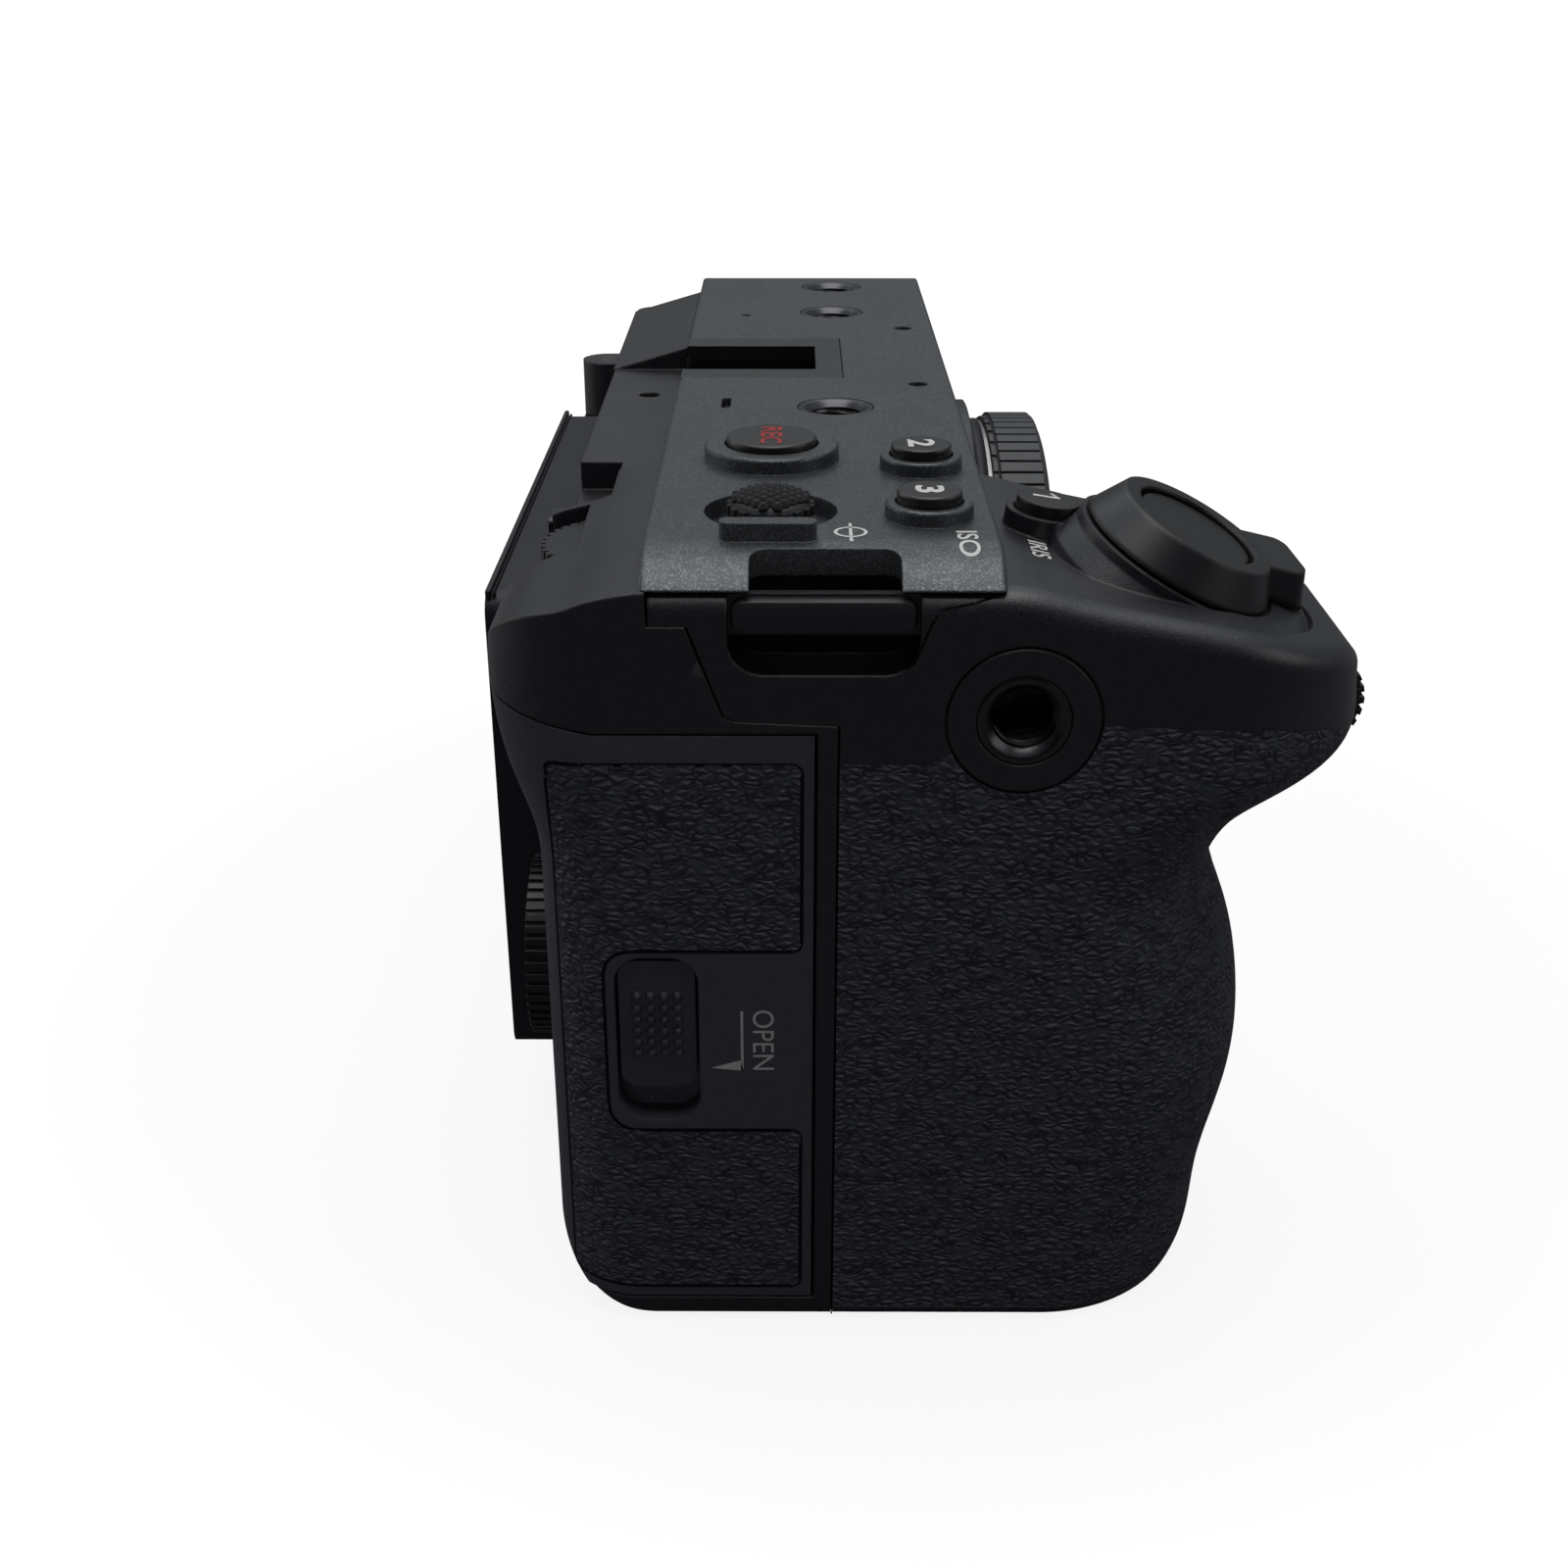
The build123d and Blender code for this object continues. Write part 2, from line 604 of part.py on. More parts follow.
with BuildPart() as front_cover:
    add(box_outer)
    rod("Y", (0, axis_z), surround_r, (surround_y, front_y))
    add(box_core, mode=Mode.SUBTRACT)
    add(front_zone.part, mode=Mode.INTERSECT)
    for x_high, y_low in ((left_x - left_front_r, front_y + wall), (left_x - wall, front_y + left_front_r)):
        block(
            (join_x - 1, x_high), (y_low, plate_rear_y - wall), (cover_top - wall - 1, cover_top + 1),
            mode=Mode.SUBTRACT,
        )
    block(
        (left_pocket_x - pocket_wall, left_x - wall + 0.4),
        (strap_y[0] - pocket_wall, strap_y[1] + pocket_wall),
        (left_strap_z[0] - pocket_wall, left_strap_z[1] + pocket_wall),
    )
    slab(
        "X", (strap_mid_y, left_strap_mid_z), (strap_w, left_strap_z[1] - left_strap_z[0]), 3.0,
        (left_pocket_x, left_x + 1), mode=Mode.SUBTRACT,
    )
    rod("X", left_insert_at, insert_r + boss_wall, (left_x - insert_depth - 1, left_x - 1))
    rod("X", left_insert_at, insert_r, (left_x - insert_depth, left_x + 1), mode=Mode.SUBTRACT)
    rod("Y", (0, axis_z), throat_r + 0.6, (surround_y - 1, front_y + wall + 1), mode=Mode.SUBTRACT)
    for low, high in (audio_z, data_z):
        block((left_x - wall - 1, left_x + 2), port_y, (low, high), mode=Mode.SUBTRACT)
    rod(
        "Z", (port_hinge_x, port_hinge_y), hinge_pin_r, (port_pins[0][0], port_pins[-1][1]), mode=Mode.SUBTRACT,
    )
    rod("Y", release_at, release_stem_r + run, (front_y - 1, front_y + wall + 1), mode=Mode.SUBTRACT)
    rod("Y", pin_at, pin_r + 0.2, (surround_y - 1, front_y + wall + 1), mode=Mode.SUBTRACT)
    rod("Y", lamp_at, lamp_r, (front_y - 1, front_y + wall + 1), mode=Mode.SUBTRACT)
    for z in vent_z:
        block(vent_x, (front_y - 1, front_y + wall + 1), (z, z + 1.1), mode=Mode.SUBTRACT)
    block(base_x, base_y, (-1, wall + 0.1), mode=Mode.SUBTRACT)
save(front_cover, "front_cover")

# Rear cover: the back, the thumb rest, the low shelf and the strip beside the card door
hump_x = (shoe_x + 0.4, left_x - 4.2)
hump_z = (76.6, 73.9)       # the hump falls towards the back
hump_y = (plate_rear_y + seam, rear_y + 0.2)
dial_recess_x = (-60.5, -45.6)
dial_recess_y = 29.6
dial_recess_z = 67.4
switch_recess_x = (-44.8, -31.5)
switch_recess_y = 27.6
switch_recess_z = 70.8
rear_dial_room_r = rear_dial_r + run
dial_axle_down = 1.6
dial_axle_up = 0.6
with BuildPart() as thumb_pad:
    add(column)
    add(column_under_skin, mode=Mode.SUBTRACT)
    block((door_end_x + 0.4, -48.5), (30.5, 60.0), (55.5, 66.8), mode=Mode.INTERSECT)
save(thumb_pad, "thumb_pad")

with BuildPart() as recess_zone:
    block(
        (dial_recess_x[0] - wall, dial_recess_x[1] + 0.8), (dial_recess_y - wall, rear_y + far),
        (dial_recess_z - wall, cover_top),
    )
    block(
        (dial_recess_x[1] + 0.8, switch_recess_x[1] + wall), (switch_recess_y - wall, rear_y + far),
        (switch_recess_z - wall, cover_top),
    )
with BuildPart() as recess_walls:
    add(column)
    add(box_outer)
    add(recess_zone.part, mode=Mode.INTERSECT)

with BuildPart() as rear_cover:
    add(grip_rear)
    add(box_outer)
    add(column_core, mode=Mode.SUBTRACT)
    add(box_core, mode=Mode.SUBTRACT)
    block(
        (grip_x + wall, join_x), (plate_front_y + wall, plate_rear_y - wall), (cover_top - 10, cover_top + 1),
        mode=Mode.SUBTRACT,
    )
    add(recess_walls.part)
    block(
        (rear_dial_at[0] - 5, rear_dial_at[0] + 5), (rear_dial_at[1] - 6, rear_y - wall / 2),
        (rear_dial_z[0] - run - dial_axle_down, rear_dial_z[0] - run),
    )
    prism(
        "X",
        [
            (hump_y[0], cover_top - 4), (hump_y[0], hump_z[0]), (hump_y[1], hump_z[1]),
            (hump_y[1], cover_top - 4),
        ],
        hump_x,
    )
    prism("X", side_zone(half_seam, far_out), whole_x, mode=Mode.INTERSECT)
    block(
        (left_seam_x - half_seam, left_x + 1), (-far, left_seam_y + seam), (-1, top_z + far),
        mode=Mode.SUBTRACT,
    )
    for low, room_y in ((deck_z[1] - 0.1, plate_rear_y), (shelf_z, plate_rear_y + seam + 0.1)):
        block(
            (-shoe_x - shoe_room, shoe_x + shoe_room), (0, room_y), (low, cover_top + 1), mode=Mode.SUBTRACT,
        )
    block(dial_recess_x, (dial_recess_y, far_out), (dial_recess_z, cover_top + 1), mode=Mode.SUBTRACT)
    block(switch_recess_x, (switch_recess_y, far_out), (switch_recess_z, cover_top + 1), mode=Mode.SUBTRACT)
    rod("Z", rear_dial_at, rear_dial_room_r, (rear_dial_z[0] - run, rear_dial_z[1] + run), mode=Mode.SUBTRACT)
    rod(
        "Z", rear_dial_at, axle_r + axle_play,
        (rear_dial_z[0] - run - dial_axle_down - 1, rear_dial_z[1] + run + dial_axle_up + 0.1),
        mode=Mode.SUBTRACT,
    )
    for span in (door_pin_low, door_pin_high):
        rod("Z", door_pin, hinge_pin_r, span, mode=Mode.SUBTRACT)
    rod("Y", battery_hinge, hinge_pin_r, battery_pin_rear, mode=Mode.SUBTRACT)
    add(thumb_pad.part, mode=Mode.SUBTRACT)
    prism("X", door_outline(seam), near_x, mode=Mode.SUBTRACT)
    rod("Z", door_pin, door_sweep_r, (door_low_z - seam, door_top_z + seam), mode=Mode.SUBTRACT)
    rod("Z", shelf_dimple_at, shelf_dimple_r, (shelf_z - 0.7, shelf_z + 1), mode=Mode.SUBTRACT)
    rod("Y", wheel_at, wheel_bore_r + 1.9, (rear_y - 4, rear_y + 3), mode=Mode.SUBTRACT)
    for centre in (menu_at, playback_at):
        rod("Y", centre, rear_button_r + 0.15, (rear_y - 4, rear_y + 4), mode=Mode.SUBTRACT)
    block(
        (switch_at[0] - 1.4, switch_at[0] + 1.4 + switch_travel), (rear_y - 4, rear_y + 2),
        (switch_at[1] - 0.9, switch_at[1] + 0.9), mode=Mode.SUBTRACT,
    )
    block(base_x, base_y, (-1, wall + 0.1), mode=Mode.SUBTRACT)
    block(
        (battery_door_x[0] - battery_door_room, battery_door_x[1] + battery_door_room),
        (battery_door_y[0] - battery_door_room, battery_door_y[1] + battery_door_room), (-1, wall + 0.1),
        mode=Mode.SUBTRACT,
    )
save(rear_cover, "rear_cover")

# Top plate with its button rings, joystick well and screw bosses
plate_end_x = grip_x + 0.5
plate_round_x = grip_x + 7.0
with BuildPart() as top_plate:
    with BuildSketch(face_plane("Y", plate_front_y)) as plate_side:
        with BuildLine():
            Line((plate_end_x, cover_top), (left_x, cover_top))
            Line((left_x, cover_top), (left_x, top_z))
            Line((left_x, top_z), (plate_round_x, top_z))
            TangentArc((plate_round_x, top_z), (plate_end_x, cover_top), tangent=(-1, 0))
        make_face()
    extrude(amount=plate_rear_y - plate_front_y, dir=PUSH["Y"])
    rims = top_plate.edges().filter_by(Axis.X).group_by(Axis.Z)[-1]
    fillet(rims, 0.5)
    rod("Z", rec_at, rec_ring_r, (cover_top, rec_ring_z))
    for centre in (two_at, three_at):
        rod("Z", centre, small_ring_r, (cover_top, small_ring_z))
    tops = top_plate.edges().filter_by(GeomType.CIRCLE).group_by(Axis.Z)
    fillet(tops[-1] + tops[-2], 0.35)
    slab(
        "Z", (stick_guard_x, (stick_guard_y[0] + stick_guard_y[1]) / 2),
        (stick_guard_t, stick_guard_y[1] - stick_guard_y[0]), stick_guard_t / 2 - 0.05,
        (cover_top, top_z + stick_guard_up),
    )
    for centre in top_insert_at:
        rod("Z", centre, insert_r + boss_wall, (top_z - insert_depth - 1, cover_top))
    rod("Z", stick_at, stick_well_r + 0.6, (stick_pivot_z - 3.2, cover_top))
    for centre in top_insert_at:
        rod("Z", centre, insert_r, (top_z - insert_depth, top_z + 1), mode=Mode.SUBTRACT)
    block(
        (-shoe_x - shoe_room, shoe_x + shoe_room), (shoe_front_y - shoe_room, plate_rear_y + 1),
        (cover_top - 1, top_z + 1), mode=Mode.SUBTRACT,
    )
    rod("Z", rec_at, rec_r + 0.2, (cover_top - 1, rec_ring_z + 1), mode=Mode.SUBTRACT)
    for centre in (two_at, three_at):
        rod("Z", centre, small_bore_r, (cover_top - 1, small_ring_z + 1), mode=Mode.SUBTRACT)
    rod("Z", stick_at, stick_well_r, (stick_well_z, top_z + 2), mode=Mode.SUBTRACT)
    rod("Z", stick_at, 2.4, (cover_top - 1, top_z), mode=Mode.SUBTRACT)
    rod("Z", stick_at, stick_well_r - 0.6, (stick_pivot_z - 2.4, cover_top - 0.6), mode=Mode.SUBTRACT)
    slab(
        "Z", (grip_x, (strap_notch_y[0] + strap_notch_y[1]) / 2),
        (2 * strap_notch_depth, strap_notch_y[1] - strap_notch_y[0]), strap_notch_r,
        (cover_top - 1, top_z + 1), mode=Mode.SUBTRACT,
    )
    slab("Z", plate_slot_at, plate_slot, 0.45, (top_z - 1, top_z + 1), mode=Mode.SUBTRACT)
    for centre in ((-13.6, -4.0), (16.8, -3.9)):
        rod("Z", centre, 1.1, (top_z - 0.8, top_z + 1), mode=Mode.SUBTRACT)
    rod("Z", (25.0, 16.0), 0.6, (top_z - 0.8, top_z + 1), mode=Mode.SUBTRACT)
save(top_plate, "top_plate")

# Base plate with the tripod boss
screw_at = [
    (x, y) for x in (base_x[0] + 5, (base_x[0] + base_x[1]) / 2 + 12, base_x[1] - 5)
    for y in (base_y[0] + 5, base_y[1] - 5)
]
screw_r = 0.9
screw_head_r = 1.7
screw_head_z = 1.1
with BuildPart() as base_plate:
    block(
        (base_x[0] + half_seam, base_x[1] - half_seam), (base_y[0] + half_seam, base_y[1] - half_seam), (0, wall),
    )
    fillet(base_plate.edges().filter_by(Axis.Z).group_by(Axis.X)[-1], 1.0)
    rod("Z", (0, 0), tripod_boss_r, (0, tripod_depth + 1))
    rod("Z", (0, 0), insert_r, (-1, tripod_depth), mode=Mode.SUBTRACT)
    rod("Z", (0, 15.0), 2.2, (-1, 1.2), mode=Mode.SUBTRACT)
    for centre in screw_at:
        rod("Z", centre, screw_head_r + 0.2, (-1, screw_head_z), mode=Mode.SUBTRACT)
        rod("Z", centre, screw_r, (-1, wall + 1), mode=Mode.SUBTRACT)
save(base_plate, "base_plate")

with BuildPart() as screws:
    for centre in screw_at:
        rod("Z", centre, screw_head_r, (0.2, screw_head_z))
        rod("Z", centre, screw_r, (screw_head_z, wall + 2.4))
        rod("Z", centre, 0.6, (0, 0.7), mode=Mode.SUBTRACT)
save(screws, "base_screws")

# Internal frame: plate behind the mount, deck under the top plate and the battery chamber
plate_back_y = front_y + wall + 2.2
post_x = 28.6
post_z = (axis_z - 21.0, axis_z + 21.0)
base_front_y = 14.6
chamber_x = (battery_x[0] - chamber_gap - chamber_wall, battery_x[1] + chamber_gap + chamber_wall)
chamber_y = (battery_y[0] - chamber_gap - chamber_wall, battery_y[1] + chamber_gap + chamber_wall)
chamber_z = (wall + seam, battery_z[1] + chamber_gap + chamber_wall)
chamber_mid = ((chamber_x[0] + chamber_x[1]) / 2, (chamber_y[0] + chamber_y[1]) / 2)
chamber_corner_r = 2.0
catch_x = ((battery_x[0] + battery_x[1]) / 2 - 2.2, (battery_x[0] + battery_x[1]) / 2 + 2.2)
catch_z = (2.3, 5.2)
with BuildPart() as chassis:
    block((join_x + 2, left_x - left_front_r), (front_y + wall, plate_back_y), (3.0, deck_z[1]))
    block((join_x + 2, left_x - left_front_r), (front_y + wall, 18.0), deck_z)
    slab(
        "Z", chamber_mid, (chamber_x[1] - chamber_x[0], chamber_y[1] - chamber_y[0]), chamber_corner_r,
        chamber_z,
    )
    block((chamber_x[1], join_x + 2), (front_y + wall, plate_back_y), (5.0, chamber_z[1]))
    block(
        (battery_x[0] - chamber_gap, battery_x[1] + chamber_gap),
        (battery_y[0] - chamber_gap, battery_y[1] + chamber_gap),
        (chamber_z[0] - 1, battery_z[1] + chamber_gap), mode=Mode.SUBTRACT,
    )
    for x in (-post_x, post_x):
        for z in post_z:
            rod("Y", (x, z), 1.8, (plate_back_y, base_front_y))
    rod("Y", (0, axis_z), throat_r + 1.4, (front_y, plate_back_y + 1), mode=Mode.SUBTRACT)
    rod("Y", release_at, 5.0, (front_y, plate_back_y + 1), mode=Mode.SUBTRACT)
    rod("Y", pin_at, pin_r + 0.5, (front_y, plate_back_y + 1), mode=Mode.SUBTRACT)
    for centre in top_insert_at:
        rod("Z", centre, insert_r + boss_wall + 0.3, (deck_z[0] - 1, deck_z[1] + 1), mode=Mode.SUBTRACT)
    block((left_pocket_x - 1.6, left_x), (strap_y[0] - 1.6, 20), (60, 76), mode=Mode.SUBTRACT)
    rod("X", left_insert_at, insert_r + boss_wall + 0.4, (left_x - 12, left_x), mode=Mode.SUBTRACT)
    rod("Z", (0, 0), tripod_boss_r + 0.3, (0, tripod_depth + 1.4), mode=Mode.SUBTRACT)
    block(
        (catch_x[0] - run, catch_x[1] + run), (battery_y[1] - 1, chamber_y[1] + 1), (0, catch_z[1] + run),
        mode=Mode.SUBTRACT,
    )
save(chassis, "chassis_frame")

# Accessory shoe and its contacts
with BuildPart() as shoe:
    block((-shoe_x, shoe_x), (shoe_front_y, plate_rear_y - 0.1), (deck_z[1], top_z))
    block(
        (-shoe_foot_x, shoe_foot_x), (shoe_channel_y, plate_rear_y + 1), (shoe_floor_z, top_z - shoe_lip_t),
        mode=Mode.SUBTRACT,
    )
    block(
        (-shoe_slot_x, shoe_slot_x), (shoe_channel_y, plate_rear_y + 1), (shoe_floor_z, top_z + 1),
        mode=Mode.SUBTRACT,
    )
    block(
        (-shoe_foot_x + 1, shoe_foot_x - 1), (shoe_front_y + 1.2, shoe_channel_y + 0.1),
        (shoe_floor_z, top_z - 1.2), mode=Mode.SUBTRACT,
    )
save(shoe, "accessory_shoe")
contact_count = 12
with BuildPart() as shoe_contacts:
    block(
        (-shoe_foot_x + 1.4, shoe_foot_x - 1.4), (shoe_front_y + 1.2, shoe_channel_y - 0.6),
        (shoe_floor_z, shoe_floor_z + 0.9),
    )
    for step in range(contact_count):
        x = (step - (contact_count - 1) / 2) * 1.2
        block(
            (x - 0.35, x + 0.35), (shoe_front_y + 1.4, shoe_channel_y - 0.8),
            (shoe_floor_z + 0.9, shoe_floor_z + 1.2),
        )
save(shoe_contacts, "shoe_contacts")

# Threaded inserts
with BuildPart() as inserts:
    for centre in top_insert_at:
        rod("Z", centre, insert_r, (top_z - insert_depth, top_z))
        rod("Z", centre, thread_bore_r, (top_z - insert_depth + 0.8, top_z + 1), mode=Mode.SUBTRACT)
    rod("X", grip_insert_at, insert_r, (grip_x, grip_x + insert_depth))
    rod("X", grip_insert_at, thread_bore_r, (grip_x - 1, grip_x + insert_depth - 0.8), mode=Mode.SUBTRACT)
    rod("X", left_insert_at, insert_r, (left_x - insert_depth, left_x))
    rod("X", left_insert_at, thread_bore_r, (left_x - insert_depth + 0.8, left_x + 1), mode=Mode.SUBTRACT)
save(inserts, "thread_inserts")
with BuildPart() as tripod_insert:
    rod("Z", (0, 0), insert_r, (0, tripod_depth))
    rod("Z", (0, 0), thread_bore_r, (-1, tripod_depth + 1), mode=Mode.SUBTRACT)
save(tripod_insert, "tripod_insert")

# Strap bars
with BuildPart() as strap_bars:
    slab(
        "Y", (grip_x + 0.2 + strap_bar_t / 2, (strap_bar_z[0] + strap_bar_z[1]) / 2),
        (strap_bar_t, strap_bar_z[1] - strap_bar_z[0]), 0.6, strap_y,
    )
    slab(
        "Y", (left_x - 0.2 - strap_bar_t / 2, (left_bar_z[0] + left_bar_z[1]) / 2),
        (strap_bar_t, left_bar_z[1] - left_bar_z[0]), 0.6, strap_y,
    )
save(strap_bars, "strap_bars")

# Buttons on the top; each has a hidden collar that keeps it in its hole
with BuildPart() as rec_button:
    rod("Z", rec_at, rec_r, (cover_top - 1.2, rec_z))
    rod("Z", rec_at, rec_r + flange_over, (cover_top - 0.3 - flange_t, cover_top - 0.3))
    fillet(rec_button.edges().filter_by(GeomType.CIRCLE).group_by(Axis.Z)[-1], 0.3)
save(rec_button, "rec_button")


def small_button(centre):
    rod("Z", centre, small_r, (cover_top - 1.2, small_z))
    rod("Z", centre, collar_r, (cover_top - 0.3 - flange_t, cover_top - 0.3))


with BuildPart() as button_2:
    small_button(two_at)
    fillet(button_2.edges().filter_by(GeomType.CIRCLE).group_by(Axis.Z)[-1], 0.25)
save(button_2, "button_2")
with BuildPart() as button_3:
    small_button(three_at)
    fillet(button_3.edges().filter_by(GeomType.CIRCLE).group_by(Axis.Z)[-1], 0.25)
save(button_3, "button_3")
with BuildPart() as button_1:
    puck(one_plane, small_r, -2.6, one_up)
    puck(one_plane, collar_r, -3.0, -2.1)
save(button_1, "button_1")

# Joystick: a cap on a carrier, which tip about two crossed axes
with BuildPart() as joystick_carrier:
    rod("Z", stick_at, 3.4, (stick_pivot_z - 1.6, stick_pivot_z - 0.4))
    rod("Z", stick_at, 2.2, (stick_pivot_z - 1.0, stick_pivot_z + 0.8), mode=Mode.SUBTRACT)
save(joystick_carrier, "joystick_carrier")
with BuildPart() as joystick_cap:
    rod("Z", stick_at, stick_stem_r, (stick_pivot_z - 0.7, stick_top_z - stick_cap_t))
    rod("Z", stick_at, stick_cap_r, (stick_top_z - stick_cap_t, stick_top_z))
    fillet(joystick_cap.edges().filter_by(GeomType.CIRCLE).group_by(Axis.Z)[-1], 1.2)
save(joystick_cap, "joystick_cap")

# Zoom lever ring with its finger tab, and the shutter button inside it
tab_root = 3.0
tab_at = lever_plane.location * Location((0, 0, 0), (0, 0, tab_turn))
with BuildPart() as lever_tab:
    with BuildSketch(lever_plane.offset(-tab_down)) as tab:
        with Locations(Rotation(0, 0, tab_turn)):
            with Locations(((tab_reach + tab_root) / 2, 0)):
                RectangleRounded(tab_reach - tab_root, tab_w, 1.4)
    extrude(amount=2 * (tab_down + tab_up), dir=(0, 0, 1))
    with Locations(tab_at * Location((lever_rim_r, 0, lever_up), (0, -tab_rise, 0))):
        Box(far_out, far_out, far, align=(Align.CENTER, Align.CENTER, Align.MIN), mode=Mode.SUBTRACT)
with BuildPart() as zoom_lever:
    with Locations(lever_plane.offset(-lever_down).location):
        Cone(lever_r, lever_rim_r, lever_down + lever_up, align=(Align.CENTER, Align.CENTER, Align.MIN))
    add(lever_tab.part)
    puck(lever_plane, lever_bore_r, -lever_down - 1, lever_up + 2, mode=Mode.SUBTRACT)
save(zoom_lever, "zoom_lever")
with BuildPart() as shutter_button:
    puck(lever_plane, shutter_r, -0.9, 0.2)
    puck(lever_plane, shutter_stem_r, shutter_collar[0] + 0.1, -0.9)
    puck(lever_plane, shutter_stem_r + 1.2, *shutter_collar)
save(shutter_button, "shutter_button")

# Command dials and the rear wheel
front_ribs = 32
with BuildPart() as front_dial:
    rod("X", front_dial_at, front_dial_r - 0.4, front_dial_x)
    rod("X", front_dial_at, axle_r, (dial_slot_x[0] - ear_t, dial_slot_x[1] + ear_t))
    with Locations(Location((front_dial_x[0], *front_dial_at), (0, 90, 0))):
        with PolarLocations(front_dial_r - 0.4, front_ribs):
            Box(0.8, 0.7, front_dial_x[1] - front_dial_x[0], align=(Align.CENTER, Align.CENTER, Align.MIN))
save(front_dial, "front_dial")
rear_ribs = 40
with BuildPart() as rear_dial:
    rod("Z", rear_dial_at, rear_dial_r - 0.4, rear_dial_z)
    rod(
        "Z", rear_dial_at, axle_r, (rear_dial_z[0] - run - dial_axle_down, rear_dial_z[1] + run + dial_axle_up),
    )
    with Locations((*rear_dial_at, rear_dial_z[0])):
        with PolarLocations(rear_dial_r - 0.4, rear_ribs):
            Box(0.8, 0.8, rear_dial_z[1] - rear_dial_z[0], align=(Align.CENTER, Align.CENTER, Align.MIN))
save(rear_dial, "rear_dial")
grip_rear_y = grip_levels[2][2]
wheel_y = (grip_rear_y + run, grip_rear_y + wheel_proud)
wheel_ribs = 48
with BuildPart() as control_wheel:
    rod("Y", wheel_at, wheel_r - 0.3, wheel_y)
    rod("Y", wheel_at, wheel_bore_r + 1.6, (rear_y - wall - 0.9, wheel_y[0]))
    rod("Y", wheel_at, wheel_bore_r + 2.6, (rear_y - wall - 1.7, rear_y - wall - 0.7))
    with Locations(Location((wheel_at[0], wheel_y[0], wheel_at[1]), (-90, 0, 0))):
        with PolarLocations(wheel_r - 0.3, wheel_ribs):
            Box(0.6, 0.7, wheel_y[1] - wheel_y[0], align=(Align.CENTER, Align.CENTER, Align.MIN))
    rod("Y", wheel_at, wheel_bore_r, (rear_y - far, rear_y + far), mode=Mode.SUBTRACT)
save(control_wheel, "control_wheel")
with BuildPart() as centre_button:
    rod("Y", wheel_at, wheel_bore_r - run, (rear_y - wall - 0.2, wheel_y[1] + 0.2))
    rod("Y", wheel_at, wheel_bore_r + 1.2, (rear_y - wall - 3.2, rear_y - wall - 2.2))
    rod("Y", wheel_at, wheel_bore_r - 1.5, (rear_y - wall - 2.4, rear_y - wall))
save(centre_button, "centre_button")


def rear_button(centre):
    """A round button in the rear wall, with a collar behind the wall."""
    rod("Y", centre, rear_button_r, (rear_y - wall - 1.0, grip_rear_y + rear_button_proud))
    rod("Y", centre, rear_button_r + 0.9, (rear_y - wall - 1.3, rear_y - wall - 0.5))


with BuildPart() as menu_button:
    rear_button(menu_at)
save(menu_button, "menu_button")
with BuildPart() as playback_button:
    rear_button(playback_at)
save(playback_button, "playback_button")
with BuildPart() as power_switch:
    slab("Y", switch_at, switch_size, 0.8, (rear_y + 0.2, rear_y + switch_proud))
    block(
        (switch_at[0] - 1.1, switch_at[0] + 1.1), (rear_y - wall - 0.6, rear_y + 0.2),
        (switch_at[1] - 0.7, switch_at[1] + 0.7),
    )
    block(
        (switch_at[0] - 1.1, switch_at[0] + 1.1), (rear_y - wall - 1.1, rear_y - wall - 0.2),
        (switch_at[1] - 1.5, switch_at[1] + 0.9),
    )
save(power_switch, "power_switch")

# Card door: hinged near its front edge, with a leather skin and a sliding latch
with BuildPart() as card_skin_zone:
    block((grip_x - 1, door_end_x), card_leather_y, (card_leather_low[0], card_leather_top[1]))
    block(
        (grip_x - 2, door_end_x + 1), (0, card_leather_back_y), (card_leather_low[1], card_leather_top[0]),
        mode=Mode.SUBTRACT,
    )
    skin_corners = card_skin_zone.edges().filter_by(Axis.X)
    notch_corners = skin_corners.filter_by_position(
        Axis.Y, card_leather_back_y - 0.1, card_leather_back_y + 0.1
    )
    fillet(notch_corners, card_leather_notch_r)
    skin_corners = card_skin_zone.edges().filter_by(Axis.X).group_by(Axis.Y)
    fillet(skin_corners[0] + skin_corners[-1], card_leather_r)
with BuildPart() as card_leather:
    add(column)
    add(column_under_skin, mode=Mode.SUBTRACT)
    add(card_skin_zone.part, mode=Mode.INTERSECT)
save(card_leather, "card_leather")
latch_recess_at = (
    (latch_recess[0][0] + latch_recess[0][1]) / 2, (latch_recess[1][0] + latch_recess[1][1]) / 2,
)
latch_recess_w = latch_recess[0][1] - latch_recess[0][0]
latch_recess_h = latch_recess[1][1] - latch_recess[1][0]
door_skim = 0.03            # the door's face lies this far under its neighbours
